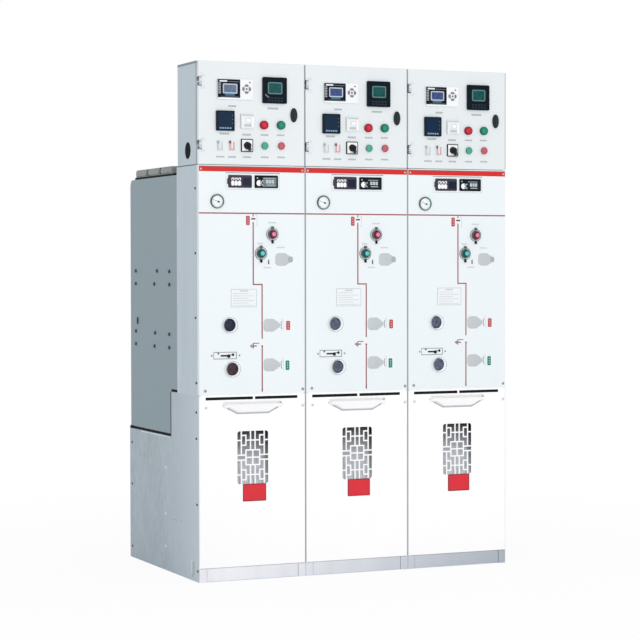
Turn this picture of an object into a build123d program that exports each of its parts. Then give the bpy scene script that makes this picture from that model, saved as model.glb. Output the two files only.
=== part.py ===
"""Three-module gas-insulated medium-voltage switchgear row, free-standing on a level floor.

Each module is a floor-standing unit: a cable compartment with a lift-off door at the bottom,
an operating mechanism behind a screwed cover above it, a low-voltage box with a hinged door on
top, and a welded gas tank behind. Millimetres, +X to the right seen from the front, +Y to the
back, +Z up. The origin lies on the floor below the middle of the bounding box.
"""
from build123d import *
import os

os.makedirs("parts", exist_ok=True)

# Row
module_count = 3
module_width = 420.0
row_depth = 770.0
base_height = 676.0      # cable compartment, floor to the mechanism's underside
mechanism_height = 835.0
lv_height = 374.0        # low-voltage box
seam = 3.0               # open joint between the fronts of two modules
panel_gap = 1.0          # open joint above and below a door or cover
sheet = 2.0              # folded steel sheet of the housings
skin = 2.0               # steel sheet of the doors and covers
bend_edge = 1.5          # bevel of the folded front edges
front_reach = 30.0       # how far the front-most control stands out of the fronts
rim_cover = 3.0          # how far a device's front frame covers the edge of its cut-out
fit_clearance = 0.5      # between a device's body and its cut-out

# Cable compartment; depths are measured back from the front faces
low_top = 508.0
step_depth = 296.0
compartment_lip = 4.0
cable_entry_width = 280.0
cable_entry_depth = 170.0
cable_entry_back = 240.0
anchor_radius = 7.0
anchor_spacing_x = 340.0
anchor_front = 60.0
anchor_back_margin = 70.0
side_slit_width = 3.0
side_slit_height = 48.0
side_slit_depth = 49.5
side_slit_centre = 45.0
plinth_top = 49.0
post_width = 28.0
post_depth = 30.0
kick_recess = 1.0
kick_gap = 1.5

# Cable door; heights are measured from the top of the plinth, notches from the door's top
door_return = 16.0
door_return_inset = 5.0
grille_pitch = 18.0
grille_bar = 5.0
grille_level = 398.5
grille_corner = 9.0
grille_columns = 7
grille_rows = 11
notch_height = 16.0
notch_left = 26.5
notch_right = 387.5
notch_tab_left = 211.0
notch_tab_right = 219.0
scoop_drop = 10.0
scoop_height = 38.0
scoop_half_width = 116.0
scoop_shoulder = 17.0
scoop_shoulder_half = 94.0
scoop_flat_half = 60.0
scoop_reach = 20.0
scoop_toe = 8.0
scoop_toe_rise = 4.0
scoop_draft = 20.0
shade_gap = 4.0
shade_lean = 46.0
shade_width = 150.0
shade_margin = 16.0
shade_thickness = 1.5

# Operating mechanism; places are measured from the module's left edge and the mechanism's underside
cover_depth = 19.5
mechanism_back = 225.0
gauge_place = (73.0, 703.0)
gauge_radius = 26.0
gauge_reach = 6.0
gauge_depth = 30.0
window_columns = (162.0, 265.0)
window_level = 776.0
window_width = 92.0
window_height = 46.0
window_reach = 2.0
window_depth = 40.0
off_button_place = (288.5, 585.0)
on_button_place = (243.5, 515.0)
bezel_radius = 22.0
bezel_thickness = 4.0
bezel_depth = 17.0
bezel_body = 24.0        # square body behind the cover
collar_radius = 15.5
collar_reach = 17.0
button_radius = 10.0
button_clearance = 0.4
button_reach = 19.0
button_travel = 5.0
button_end_gap = 0.5
button_edge = 1.5
stem_width = 7.0
stem_tail = 2.0
hasp_width = 9.0
hasp_height = 10.0
pin_width = 8.0
pin_drop = 16.0
pin_reach = 14.0
shutter_places = ((326.0, 493.0), (279.0, 252.5), (279.0, 107.5))
shutter_radius = 23.0
shutter_tail_radius = 7.0
shutter_tail_reach = 41.0
shutter_plate_margin = 10.0
shutter_thickness = 1.5
sight_places = ((120.0, 255.0), (130.5, 95.0))
sight_radius = 24.0
sight_rim = 4.5
sight_rim_reach = 10.0
sight_rim_draft = 12.0
pane_lap = 4.0           # how far a pane reaches past its opening, behind the cover
pane_thickness = 6.0

# Low-voltage box and door; places are measured from the module's left edge and the box's underside
lv_front = 22.0
lv_back = 212.0
lv_lip = 20.0
lv_door_depth = 16.0
port_radius = 31.0
port_depth = 107.0
port_level = 54.5
hinge_levels = (71.0, 299.5)
hinge_height = 28.0
hinge_notch_width = 19.0
hinge_notch_clearance = 3.0
hinge_in = 8.0           # hinge axis from the module's left edge
hinge_out = 4.0          # hinge axis in front of the door's face
hinge_leaf_width = 10.0
hinge_leaf_overlap = 6.0
knuckle_radius = 5.0
knuckle_gap = 0.5
hinge_pin_radius = 2.5
hinge_pin_clearance = 0.1

# Devices on the low-voltage door: (left, right, bottom, top) of rectangular front frames
relay_frame = (75.0, 212.0, 236.0, 310.5)
controller_frame = (250.0, 344.5, 227.0, 321.5)
meter_frame = (69.5, 138.5, 123.0, 195.0)
counter_frame = (165.0, 216.0, 133.0, 186.0)
frame_reach = 8.0
frame_corner = 3.0
device_depth = 55.0
lamp_places = ((255.5, 147.0), (322.5, 148.0))
lamp_radius = 15.5
lamp_reach = 9.0
switch_body = 16.0       # square bodies of lamps, press buttons and the rotary switch
switch_depth = 30.0
press_places = ((258.5, 71.5), (324.0, 72.5))
press_radius = 12.5
link_places = ((84.5, 69.0), (130.0, 70.0))
link_width = 20.0
link_height = 38.0
link_reach = 5.0
link_depth = 18.0
selector_place = (189.0, 71.5)
selector_plate = 46.0
selector_plate_reach = 4.0
knob_radius = 14.0
knob_reach = 22.0
knob_gap = 0.5
knob_lever_length = 26.0
knob_lever_width = 8.0
knob_rest_angle = -52.0
shaft_radius = 3.0
shaft_clearance = 0.1
shaft_depth = 8.0
lock_place = (374.0, 186.0)
lock_width = 26.0
lock_height = 52.0
lock_reach = 10.0
lock_edge = 2.5
lock_gap = 0.5
lock_neck_radius = 8.0
lock_neck_clearance = 0.2
lock_cam_back = 5.0
lock_cam_length = 26.0
lock_cam_width = 14.0
lock_cam_thickness = 3.0

# Gas tank and busbar duct
tank_gap = 10.0
tank_top_drop = 29.0     # from the low-voltage box's underside to the tank's top
tank_inset = 5.0
tank_edge_radius = 26.0
seal_inset = 9.0
phase_count = 3
duct_inset = 15.0
duct_front = 302.0
duct_ridge_pitch = 143.0
duct_groove = 8.0
duct_seal_height = 9.0
duct_seal_margin = 10.0
duct_groove_level = 11.0
duct_height = 28.0
duct_corner = 9.0

front_y = (front_reach - row_depth) / 2
row_width = module_count * module_width
panel_width = module_width - seam
lv_floor = base_height + mechanism_height
total_height = lv_floor + lv_height
door_top = base_height - panel_gap / 2
tank_top = lv_floor - tank_top_drop
anchor_back = row_depth - anchor_back_margin
button_back = bezel_thickness / 2 + button_travel + button_end_gap


def left_edge(number):
    """X of a module's left edge; modules count from 1 at the left end."""
    return (number - 1) * module_width - row_width / 2


def centre_x(number):
    """X of a module's middle."""
    return left_edge(number) + module_width / 2


def on_cover(number, place):
    """Point on a mechanism cover, in the sketch planes that face forwards."""
    return (left_edge(number) + place[0], base_height + place[1])


def on_lv_door(number, place):
    """Point on a low-voltage door, in the sketch planes that face forwards."""
    return (left_edge(number) + place[0], lv_floor + place[1])


def facing(depth):
    """Sketch plane parallel to the fronts; local x is X, local y is Z, outwards is positive."""
    return Plane(origin=(0, front_y + depth, 0), x_dir=(1, 0, 0), z_dir=(0, -1, 0))


def across(x):
    """Sketch plane across the row; local x runs back from the front faces, local y is Z."""
    return Plane(origin=(x, front_y, 0), x_dir=(0, 1, 0), z_dir=(1, 0, 0))


def level(z, x=0.0):
    """Sketch plane at a height; local x is X from the given x, local y is back from the fronts."""
    return Plane(origin=(x, front_y, z), x_dir=(1, 0, 0), z_dir=(0, 0, 1))


def save(builder, name):
    """Label a finished piece and write its file."""
    builder.part.label = name
    export_step(builder.part, f"parts/{name}.step")


def compartment_outline(margin=0.0):
    """Side outline of the cable compartment: tall at the front, low under the tank."""
    Polyline(
        (skin + margin, margin),
        (row_depth - margin, margin),
        (row_depth - margin, low_top - margin),
        (step_depth - margin, low_top - margin),
        (step_depth - margin, base_height - margin),
        (skin + margin, base_height - margin),
        close=True,
    )


def make_cable_box(number):
    """Folded sheet compartment, open to the front, with a cable entry in its floor."""
    with BuildPart() as cable_box:
        with BuildSketch(across(left_edge(number))):
            with BuildLine():
                compartment_outline()
            make_face()
        extrude(amount=module_width)
        with BuildSketch(across(left_edge(number) + sheet)):
            with BuildLine():
                compartment_outline(sheet)
            make_face()
        extrude(amount=module_width - 2 * sheet, mode=Mode.SUBTRACT)
        with BuildSketch(facing(skin)):
            with Locations((centre_x(number), (sheet + base_height - compartment_lip) / 2)):
                Rectangle(module_width - 2 * compartment_lip, base_height - compartment_lip - sheet)
        extrude(amount=-sheet, mode=Mode.SUBTRACT)
        with BuildSketch(level(0, centre_x(number))):
            with Locations((0, cable_entry_back - cable_entry_depth / 2)):
                Rectangle(cable_entry_width, cable_entry_depth)
            with Locations((0, (anchor_front + anchor_back) / 2)):
                with GridLocations(anchor_spacing_x, anchor_back - anchor_front, 2, 2):
                    Circle(anchor_radius)
        extrude(amount=sheet, mode=Mode.SUBTRACT)
        with BuildSketch(across(left_edge(number))):
            with Locations((side_slit_depth, side_slit_centre)):
                Rectangle(side_slit_width, side_slit_height)
        extrude(amount=module_width, mode=Mode.SUBTRACT)
    save(cable_box, f"cable_box_{number}")


def make_plinth_front():
    """Corner posts and removable kick panels below the cable doors."""
    post_edge = panel_width / 2 - post_width
    kick_half = post_edge - kick_gap
    inner_half = module_width / 2 - compartment_lip
    middle_level = (sheet + plinth_top) / 2
    with BuildPart() as plinth_front:
        for number in range(1, module_count + 1):
            x = centre_x(number)
            for side in (-1, 1):
                with BuildSketch(facing(0)):
                    with Locations((x + side * (post_edge + post_width / 2), plinth_top / 2)):
                        Rectangle(post_width, plinth_top)
                extrude(amount=-skin)
                with BuildSketch(facing(skin)):
                    with Locations((x + side * (post_edge + inner_half) / 2, middle_level)):
                        Rectangle(inner_half - post_edge, plinth_top - sheet)
                extrude(amount=-post_depth)
            with BuildSketch(facing(kick_recess)):
                with Locations((x, middle_level)):
                    Rectangle(2 * kick_half, plinth_top - sheet)
            extrude(amount=-2 * skin)
    save(plinth_front, "plinth_front")


def fretwork():
    """Lattice of straight slots on a square pitch, the same in all four quarters."""

    def slot(column, last_column, row, last_row):
        across_cells = abs(last_column - column) + 1
        up_cells = abs(last_row - row) + 1
        with Locations(((column + last_column) / 2 * grille_pitch, (row + last_row) / 2 * grille_pitch)):
            Rectangle(across_cells * grille_pitch - grille_bar, up_cells * grille_pitch - grille_bar)

    square_cells = 1.5
    square_place = square_cells / 2 * grille_pitch
    square = square_cells * grille_pitch - grille_bar
    with BuildSketch(mode=Mode.PRIVATE) as lattice:
        for side in (-1, 1):
            slot(2 * side, 3 * side, 0, 0)
            for end in (-1, 1):
                slot(3 * side, 3 * side, 1 * end, 3 * end)
                slot(3 * side, 3 * side, 4 * end, 5 * end)
                slot(2 * side, 2 * side, 3 * end, 4 * end)
                slot(1 * side, 2 * side, 5 * end, 5 * end)
                slot(1 * side, 1 * side, 4 * end, 5 * end)
                slot(1 * side, 1 * side, 2 * end, 3 * end)
                slot(1 * side, 2 * side, 2 * end, 2 * end)
                slot(2 * side, 2 * side, 1 * end, 2 * end)
                with Locations((side * square_place, end * square_place)):
                    Rectangle(square, square)
        for end in (-1, 1):
            slot(0, 0, 4 * end, 5 * end)
            slot(0, 0, 2 * end, 3 * end)
        RectangleRounded(
            grille_columns * grille_pitch - grille_bar,
            grille_rows * grille_pitch - grille_bar,
            grille_corner,
            mode=Mode.INTERSECT,
        )
    return lattice.sketch


def scoop_form(number, wall=0.0):
    """Pressed form of the pull scoop; with a wall it is the hollow, open at the top and the back."""
    base = door_top - notch_height - scoop_drop - scoop_height
    low = base + wall
    top = base + scoop_height + wall
    shoulder = base + scoop_shoulder + wall
    reach = scoop_reach - wall
    toe = scoop_toe - wall
    wide, knee, flat = (half - wall for half in (scoop_half_width, scoop_shoulder_half, scoop_flat_half))
    with BuildPart() as form:
        with BuildSketch(facing(wall)):
            with BuildLine():
                Polyline((-wide, top), (-wide, shoulder), (-knee, shoulder), (-flat, low),
                         (flat, low), (knee, shoulder), (wide, shoulder), (wide, top), close=True)
            make_face()
        extrude(amount=scoop_reach, taper=scoop_draft)
        with BuildSketch(across(-scoop_half_width)):
            with BuildLine():
                Polyline((wall, low), (-toe, low + scoop_toe_rise), (-reach, top), (wall, top), close=True)
            make_face()
        extrude(amount=2 * scoop_half_width, mode=Mode.INTERSECT)
    return form.part.moved(Location((centre_x(number), 0, 0)))


def make_cable_door(number):
    """Lift-off door with a pull scoop under its hand notch and a fretwork grille."""
    middle = centre_x(number)
    bottom = plinth_top + panel_gap
    return_top = door_top - notch_height - door_return_inset
    return_bottom = bottom + door_return_inset
    return_width = panel_width - 2 * door_return_inset
    scoop = scoop_form(number)
    scoop_hollow = scoop_form(number, skin)
    with BuildPart() as cable_door:
        with BuildSketch(facing(0)):
            with Locations((middle, (bottom + door_top) / 2)):
                Rectangle(panel_width, door_top - bottom)
        extrude(amount=-skin)
        chamfer(cable_door.faces().sort_by(Axis.Y)[0].edges(), length=bend_edge)
        with BuildSketch(facing(skin)):
            with Locations((middle, (return_bottom + return_top) / 2)):
                Rectangle(return_width, return_top - return_bottom)
                Rectangle(return_width - 2 * skin, return_top - return_bottom - 2 * skin, mode=Mode.SUBTRACT)
        extrude(amount=-(door_return - skin))
        add(scoop)
        add(scoop_hollow, mode=Mode.SUBTRACT)
        with BuildSketch(facing(0)):
            for first, last in ((notch_left, notch_tab_left), (notch_tab_right, notch_right)):
                with Locations((left_edge(number) + (first + last) / 2, door_top - notch_height / 2)):
                    Rectangle(last - first, notch_height)
            with Locations((middle, plinth_top + grille_level)):
                add(fretwork())
        extrude(amount=-skin, mode=Mode.SUBTRACT)
    save(cable_door, f"cable_door_{number}")


def make_grille_shades():
    """Leaning sheets behind the grilles that keep fingers and rods out of the compartment."""
    half = (grille_rows * grille_pitch - grille_bar) / 2 + shade_margin
    low = plinth_top + grille_level - half
    high = plinth_top + grille_level + half
    with BuildPart() as grille_shades:
        for number in range(1, module_count + 1):
            with BuildSketch(across(centre_x(number) - shade_width / 2)):
                with BuildLine():
                    Polyline(
                        (skin, low),
                        (skin + shade_gap, low),
                        (skin + shade_lean, high - shade_thickness),
                        (skin, high - shade_thickness),
                        (skin, high),
                        (skin + shade_lean + shade_thickness, high),
                        (skin + shade_gap + shade_thickness, low - shade_thickness),
                        (skin, low - shade_thickness),
                        close=True,
                    )
                make_face()
            extrude(amount=shade_width)
    save(grille_shades, "grille_shades")


def make_mechanism_box(number):
    """Folded sheet housing of the operating mechanism, open to the front under its cover."""
    middle = (centre_x(number), base_height + mechanism_height / 2)
    depth = mechanism_back - cover_depth
    with BuildPart() as mechanism_box:
        with BuildSketch(facing(cover_depth)):
            with Locations(middle):
                Rectangle(module_width, mechanism_height)
        extrude(amount=-depth)
        with BuildSketch(facing(cover_depth)):
            with Locations(middle):
                Rectangle(module_width - 2 * sheet, mechanism_height - 2 * sheet)
        extrude(amount=-(depth - sheet), mode=Mode.SUBTRACT)
    save(mechanism_box, f"mechanism_box_{number}")


def keyhole():
    """Outline of a shutter's opening: a round body drawn out to a narrow tail on the right."""
    with BuildSketch(mode=Mode.PRIVATE) as outline:
        Circle(shutter_radius)
        with Locations((shutter_tail_reach - shutter_tail_radius, 0)):
            Circle(shutter_tail_radius)
        make_hull(outline.edges())
    return outline.sketch


def make_mechanism_cover(number):
    """Screwed front cover with openings for the instruments, buttons, shutters and windows."""
    middle = (centre_x(number), base_height + mechanism_height / 2)
    height = mechanism_height - 2 * panel_gap
    with BuildPart() as mechanism_cover:
        with BuildSketch(facing(0)):
            with Locations(middle):
                Rectangle(panel_width, height)
        extrude(amount=-cover_depth)
        chamfer(mechanism_cover.faces().sort_by(Axis.Y)[0].edges(), length=bend_edge)
        with BuildSketch(facing(skin)):
            with Locations(middle):
                Rectangle(panel_width - 2 * skin, height - 2 * skin)
        extrude(amount=-cover_depth, mode=Mode.SUBTRACT)
        with BuildSketch(facing(0)):
            with Locations(on_cover(number, gauge_place)):
                Circle(gauge_radius - rim_cover)
            for column in window_columns:
                with Locations(on_cover(number, (column, window_level))):
                    Rectangle(window_width - 2 * rim_cover, window_height - 2 * rim_cover)
            for place in (off_button_place, on_button_place):
                with Locations(on_cover(number, place)):
                    Rectangle(bezel_body + 2 * fit_clearance, bezel_body + 2 * fit_clearance)
            for place in shutter_places:
                with Locations(on_cover(number, place)):
                    add(keyhole())
            for place in sight_places:
                with Locations(on_cover(number, place)):
                    Circle(sight_radius)
        extrude(amount=-skin, mode=Mode.SUBTRACT)
    save(mechanism_cover, f"mechanism_cover_{number}")


def make_pressure_gauges():
    """Round gas pressure gauges in the covers."""
    with BuildPart() as pressure_gauges:
        for number in range(1, module_count + 1):
            with BuildSketch(facing(0)):
                with Locations(on_cover(number, gauge_place)):
                    Circle(gauge_radius)
            extrude(amount=gauge_reach)
            with BuildSketch(facing(0)):
                with Locations(on_cover(number, gauge_place)):
                    Circle(gauge_radius - rim_cover - fit_clearance)
            extrude(amount=-gauge_depth)
    save(pressure_gauges, "pressure_gauges")


def make_instrument_windows():
    """Two flat instruments side by side at the top of each cover."""
    inset = 2 * (rim_cover + fit_clearance)
    with BuildPart() as instrument_windows:
        for number in range(1, module_count + 1):
            for column in window_columns:
                with BuildSketch(facing(0)):
                    with Locations(on_cover(number, (column, window_level))):
                        Rectangle(window_width, window_height)
                extrude(amount=window_reach)
                with BuildSketch(facing(0)):
                    with Locations(on_cover(number, (column, window_level))):
                        Rectangle(window_width - inset, window_height - inset)
                extrude(amount=-window_depth)
    save(instrument_windows, "instrument_windows")


def make_sight_windows():
    """White rims on the covers and the dark panes seated behind the openings."""
    with BuildPart() as sight_rims:
        for number in range(1, module_count + 1):
            for place in sight_places:
                with BuildSketch(facing(0)):
                    with Locations(on_cover(number, place)):
                        Circle(sight_radius + sight_rim)
                extrude(amount=sight_rim_reach, taper=sight_rim_draft)
                with BuildSketch(facing(0)):
                    with Locations(on_cover(number, place)):
                        Circle(sight_radius)
                extrude(amount=sight_rim_reach, mode=Mode.SUBTRACT)
    save(sight_rims, "sight_rims")
    with BuildPart() as sight_panes:
        for number in range(1, module_count + 1):
            for place in sight_places:
                with BuildSketch(facing(skin)):
                    with Locations(on_cover(number, place)):
                        Circle(sight_radius + pane_lap)
                extrude(amount=-pane_thickness)
    save(sight_panes, "sight_panes")


def make_access_shutters():
    """Plates that close the operating handle's openings from behind."""
    width = shutter_radius + shutter_tail_reach + 2 * shutter_plate_margin
    height = 2 * (shutter_radius + shutter_plate_margin)
    offset = (shutter_tail_reach - shutter_radius) / 2
    with BuildPart() as access_shutters:
        for number in range(1, module_count + 1):
            for place in shutter_places:
                with BuildSketch(facing(skin)):
                    with Locations(on_cover(number, (place[0] + offset, place[1]))):
                        Rectangle(width, height)
                extrude(amount=-shutter_thickness)
    save(access_shutters, "access_shutters")


def make_button_bezels():
    """Bezels of the two mechanical push buttons: base ring, guard collar, hasp and pin."""
    with BuildPart() as button_bezels:
        for number in range(1, module_count + 1):
            for place in (off_button_place, on_button_place):
                x, z = on_cover(number, place)
                with BuildSketch(facing(0)):
                    with Locations((x, z)):
                        Circle(bezel_radius)
                extrude(amount=bezel_thickness)
                with BuildSketch(facing(0)):
                    with Locations((x, z)):
                        Circle(collar_radius)
                    with Locations((x, z + bezel_radius)):
                        Rectangle(hasp_width, hasp_height)
                extrude(amount=collar_reach)
                with BuildSketch(facing(0)):
                    with Locations((x, z)):
                        Rectangle(bezel_body, bezel_body)
                extrude(amount=-bezel_depth)
                with BuildSketch(facing(0)):
                    with Locations((x, z - bezel_radius + (pin_width - pin_drop) / 2)):
                        Rectangle(pin_width, pin_drop)
                extrude(amount=pin_reach)
                with BuildSketch(facing(-bezel_thickness / 2)):
                    with Locations((x, z)):
                        Circle(button_radius + button_clearance)
                extrude(amount=collar_reach, mode=Mode.SUBTRACT)
                with BuildSketch(facing(bezel_depth)):
                    with Locations((x, z)):
                        Rectangle(stem_width + 2 * button_clearance, stem_width + 2 * button_clearance)
                extrude(amount=bezel_depth + bezel_thickness, mode=Mode.SUBTRACT)
    save(button_bezels, "button_bezels")


def make_push_button(number, place, name):
    """Round push button with its stem; it slides back into the bezel."""
    with BuildPart() as push_button:
        with BuildSketch(facing(-button_back)):
            with Locations(on_cover(number, place)):
                Circle(button_radius)
        extrude(amount=button_reach - button_back)
        with BuildSketch(facing(-button_back)):
            with Locations(on_cover(number, place)):
                Rectangle(stem_width, stem_width)
        extrude(amount=-(button_back + bezel_depth + stem_tail))
        chamfer(push_button.faces().sort_by(Axis.Y)[0].edges(), length=button_edge)
    save(push_button, f"{name}_{number}")


def make_lv_box(number):
    """Low-voltage box, open to the front, with wiring ports in its sides and fixed hinge halves."""
    middle = (centre_x(number), lv_floor + lv_height / 2)
    axis_x = left_edge(number) + hinge_in
    with BuildPart() as lv_box:
        with BuildSketch(facing(lv_front)):
            with Locations(middle):
                Rectangle(module_width, lv_height)
        extrude(amount=-(lv_back - lv_front))
        with BuildSketch(facing(lv_front + sheet)):
            with Locations(middle):
                Rectangle(module_width - 2 * sheet, lv_height - 2 * sheet)
        extrude(amount=-(lv_back - lv_front - 2 * sheet), mode=Mode.SUBTRACT)
        with BuildSketch(facing(lv_front)):
            with Locations(middle):
                Rectangle(module_width - 2 * (sheet + lv_lip), lv_height - 2 * (sheet + lv_lip))
        extrude(amount=-sheet, mode=Mode.SUBTRACT)
        with BuildSketch(across(left_edge(number))):
            with Locations((port_depth, lv_floor + port_level)):
                Circle(port_radius)
        extrude(amount=module_width, mode=Mode.SUBTRACT)
        for hinge_level in hinge_levels:
            with BuildSketch(level(lv_floor + hinge_level - hinge_height / 2)):
                with Locations((axis_x, -hinge_out)):
                    Circle(knuckle_radius)
                with Locations((axis_x, (lv_front - hinge_out) / 2)):
                    Rectangle(hinge_leaf_width, lv_front + hinge_out)
            extrude(amount=(hinge_height - knuckle_gap) / 2)
            with BuildSketch(level(lv_floor + hinge_level - hinge_height / 2)):
                with Locations((axis_x, -hinge_out)):
                    Circle(hinge_pin_radius)
            extrude(amount=hinge_height)
    save(lv_box, f"lv_box_{number}")


def frame_middle(number, frame):
    """Middle of a rectangular device frame on a low-voltage door."""
    return on_lv_door(number, ((frame[0] + frame[1]) / 2, (frame[2] + frame[3]) / 2))


def make_lv_door(number):
    """Hinged door of the low-voltage box, with cut-outs for its devices."""
    left = left_edge(number)
    middle = (centre_x(number), lv_floor + lv_height / 2)
    height = lv_height - 2 * panel_gap
    leaf_end = hinge_notch_width + hinge_leaf_overlap
    with BuildPart() as lv_door:
        with BuildSketch(facing(0)):
            with Locations(middle):
                Rectangle(panel_width, height)
        extrude(amount=-lv_door_depth)
        chamfer(lv_door.faces().sort_by(Axis.Y)[0].edges(), length=bend_edge)
        with BuildSketch(facing(skin)):
            with Locations(middle):
                Rectangle(panel_width - 2 * skin, height - 2 * skin)
        extrude(amount=-lv_door_depth, mode=Mode.SUBTRACT)
        with BuildSketch(facing(0)):
            for frame in (relay_frame, controller_frame, meter_frame, counter_frame):
                with Locations(frame_middle(number, frame)):
                    Rectangle(frame[1] - frame[0] - 2 * rim_cover, frame[3] - frame[2] - 2 * rim_cover)
            for place in lamp_places + press_places + (selector_place,):
                with Locations(on_lv_door(number, place)):
                    Rectangle(switch_body + 2 * fit_clearance, switch_body + 2 * fit_clearance)
            for place in link_places:
                with Locations(on_lv_door(number, place)):
                    Rectangle(link_width - 2 * rim_cover, link_height - 2 * rim_cover)
            with Locations(on_lv_door(number, lock_place)):
                Circle(lock_neck_radius + lock_neck_clearance)
            for hinge_level in hinge_levels:
                with Locations(on_lv_door(number, (hinge_notch_width / 2, hinge_level))):
                    Rectangle(hinge_notch_width, hinge_height + 2 * hinge_notch_clearance)
        extrude(amount=-lv_door_depth, mode=Mode.SUBTRACT)
        for hinge_level in hinge_levels:
            with BuildSketch(level(lv_floor + hinge_level + knuckle_gap / 2)):
                with Locations((left + hinge_in, -hinge_out)):
                    Circle(knuckle_radius)
                with Locations((left + (hinge_in + leaf_end) / 2, (skin - hinge_out) / 2)):
                    Rectangle(leaf_end - hinge_in, skin + hinge_out)
                with Locations((left + hinge_in, -hinge_out)):
                    Circle(hinge_pin_radius + hinge_pin_clearance, mode=Mode.SUBTRACT)
            extrude(amount=(hinge_height - knuckle_gap) / 2)
    save(lv_door, f"lv_door_{number}")


def face_plate(middle, width, height):
    """Rectangle with its corners cut off, as the outline of a device's front frame."""
    with BuildSketch(mode=Mode.PRIVATE) as plate:
        Rectangle(width, height)
        chamfer(plate.vertices(), length=frame_corner)
    return plate.sketch.moved(Location(middle))


def make_door_instruments(number):
    """Relay, controller, meter, counter, lamps, press buttons, test links and switch plate."""
    inset = 2 * (rim_cover + fit_clearance)
    with BuildPart() as door_instruments:
        for frame in (relay_frame, controller_frame, meter_frame, counter_frame):
            width = frame[1] - frame[0]
            height = frame[3] - frame[2]
            with BuildSketch(facing(0)):
                add(face_plate(frame_middle(number, frame), width, height))
            extrude(amount=frame_reach)
            with BuildSketch(facing(0)):
                with Locations(frame_middle(number, frame)):
                    Rectangle(width - inset, height - inset)
            extrude(amount=-device_depth)
        for places, radius in ((lamp_places, lamp_radius), (press_places, press_radius)):
            for place in places:
                with BuildSketch(facing(0)):
                    with Locations(on_lv_door(number, place)):
                        Circle(radius)
                extrude(amount=lamp_reach)
                with BuildSketch(facing(0)):
                    with Locations(on_lv_door(number, place)):
                        Rectangle(switch_body, switch_body)
                extrude(amount=-switch_depth)
        for place in link_places:
            with BuildSketch(facing(0)):
                add(face_plate(on_lv_door(number, place), link_width, link_height))
            extrude(amount=link_reach)
            with BuildSketch(facing(0)):
                with Locations(on_lv_door(number, place)):
                    Rectangle(link_width - inset, link_height - inset)
            extrude(amount=-link_depth)
        with BuildSketch(facing(0)):
            add(face_plate(on_lv_door(number, selector_place), selector_plate, selector_plate))
        extrude(amount=selector_plate_reach)
        with BuildSketch(facing(0)):
            with Locations(on_lv_door(number, selector_place)):
                Rectangle(switch_body, switch_body)
        extrude(amount=-switch_depth)
        with BuildSketch(facing(-selector_plate_reach)):
            with Locations(on_lv_door(number, selector_place)):
                Circle(shaft_radius + shaft_clearance)
        extrude(amount=-(selector_plate_reach + shaft_depth + fit_clearance), mode=Mode.SUBTRACT)
    save(door_instruments, f"door_instruments_{number}")


def make_selector_knob(number):
    """Black rotary handle with its lever pointing down to the right."""
    start = selector_plate_reach + knob_gap
    with BuildPart() as selector_knob:
        with BuildSketch(facing(-start)):
            with Locations(on_lv_door(number, selector_place)):
                Circle(knob_radius)
        extrude(amount=knob_reach - start)
        with BuildSketch(facing(-knob_reach)):
            with Locations(on_lv_door(number, selector_place)):
                with PolarLocations(knob_lever_length / 2, 1, start_angle=knob_rest_angle):
                    Rectangle(knob_lever_length + knob_lever_width, knob_lever_width)
        extrude(amount=front_reach - knob_reach)
        with BuildSketch(facing(-start)):
            with Locations(on_lv_door(number, selector_place)):
                Circle(shaft_radius)
        extrude(amount=-(start + shaft_depth))
    save(selector_knob, f"selector_knob_{number}")


def make_door_lock(number):
    """Oval quarter-turn lock knob with its neck and cam behind the door."""
    x, z = on_lv_door(number, lock_place)
    with BuildPart() as door_lock:
        with BuildSketch(facing(-lock_gap)):
            with Locations((x, z)):
                SlotOverall(lock_height, lock_width, rotation=90)
        extrude(amount=lock_reach)
        chamfer(door_lock.faces().sort_by(Axis.Y)[0].edges(), length=lock_edge)
        with BuildSketch(facing(-lock_gap)):
            with Locations((x, z)):
                Circle(lock_neck_radius)
        extrude(amount=-(lock_gap + skin + lock_cam_back))
        with BuildSketch(facing(skin + lock_cam_back)):
            with Locations((x, z - (lock_cam_length - lock_cam_width) / 2)):
                Rectangle(lock_cam_width, lock_cam_length)
        extrude(amount=-lock_cam_thickness)
    save(door_lock, f"door_lock_{number}")


def make_gas_tank(number):
    """Welded gas tank behind the mechanism, stepped over the cable compartment."""
    with BuildPart() as gas_tank:
        with BuildSketch(across(left_edge(number) + tank_inset)):
            with BuildLine():
                Polyline(
                    (mechanism_back, base_height + tank_gap),
                    (step_depth + tank_gap, base_height + tank_gap),
                    (step_depth + tank_gap, low_top + tank_gap),
                    (row_depth, low_top + tank_gap),
                    (row_depth, tank_top),
                    (mechanism_back, tank_top),
                    close=True,
                )
            make_face()
            fillet(vertices().group_by(Axis.X)[-1].sort_by(Axis.Y)[-1], radius=tank_edge_radius)
        extrude(amount=module_width - 2 * tank_inset)
    save(gas_tank, f"gas_tank_{number}")


def make_tank_seals():
    """Black pads that carry the tanks on the cable compartments, and the duct's gasket."""
    with BuildPart() as tank_seals:
        for number in range(1, module_count + 1):
            with BuildSketch(across(left_edge(number) + seal_inset)):
                with BuildLine():
                    Polyline(
                        (mechanism_back, base_height),
                        (step_depth, base_height),
                        (step_depth, low_top),
                        (row_depth - seal_inset, low_top),
                        (row_depth - seal_inset, low_top + tank_gap),
                        (step_depth + tank_gap, low_top + tank_gap),
                        (step_depth + tank_gap, base_height + tank_gap),
                        (mechanism_back, base_height + tank_gap),
                        close=True,
                    )
                make_face()
            extrude(amount=module_width - 2 * seal_inset)
        with BuildSketch(level(tank_top)):
            with Locations((0, duct_front + phase_count * duct_ridge_pitch / 2)):
                Rectangle(row_width - 2 * duct_inset, phase_count * duct_ridge_pitch + 2 * duct_seal_margin)
        extrude(amount=duct_seal_height)
    save(tank_seals, "tank_seals")


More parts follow.
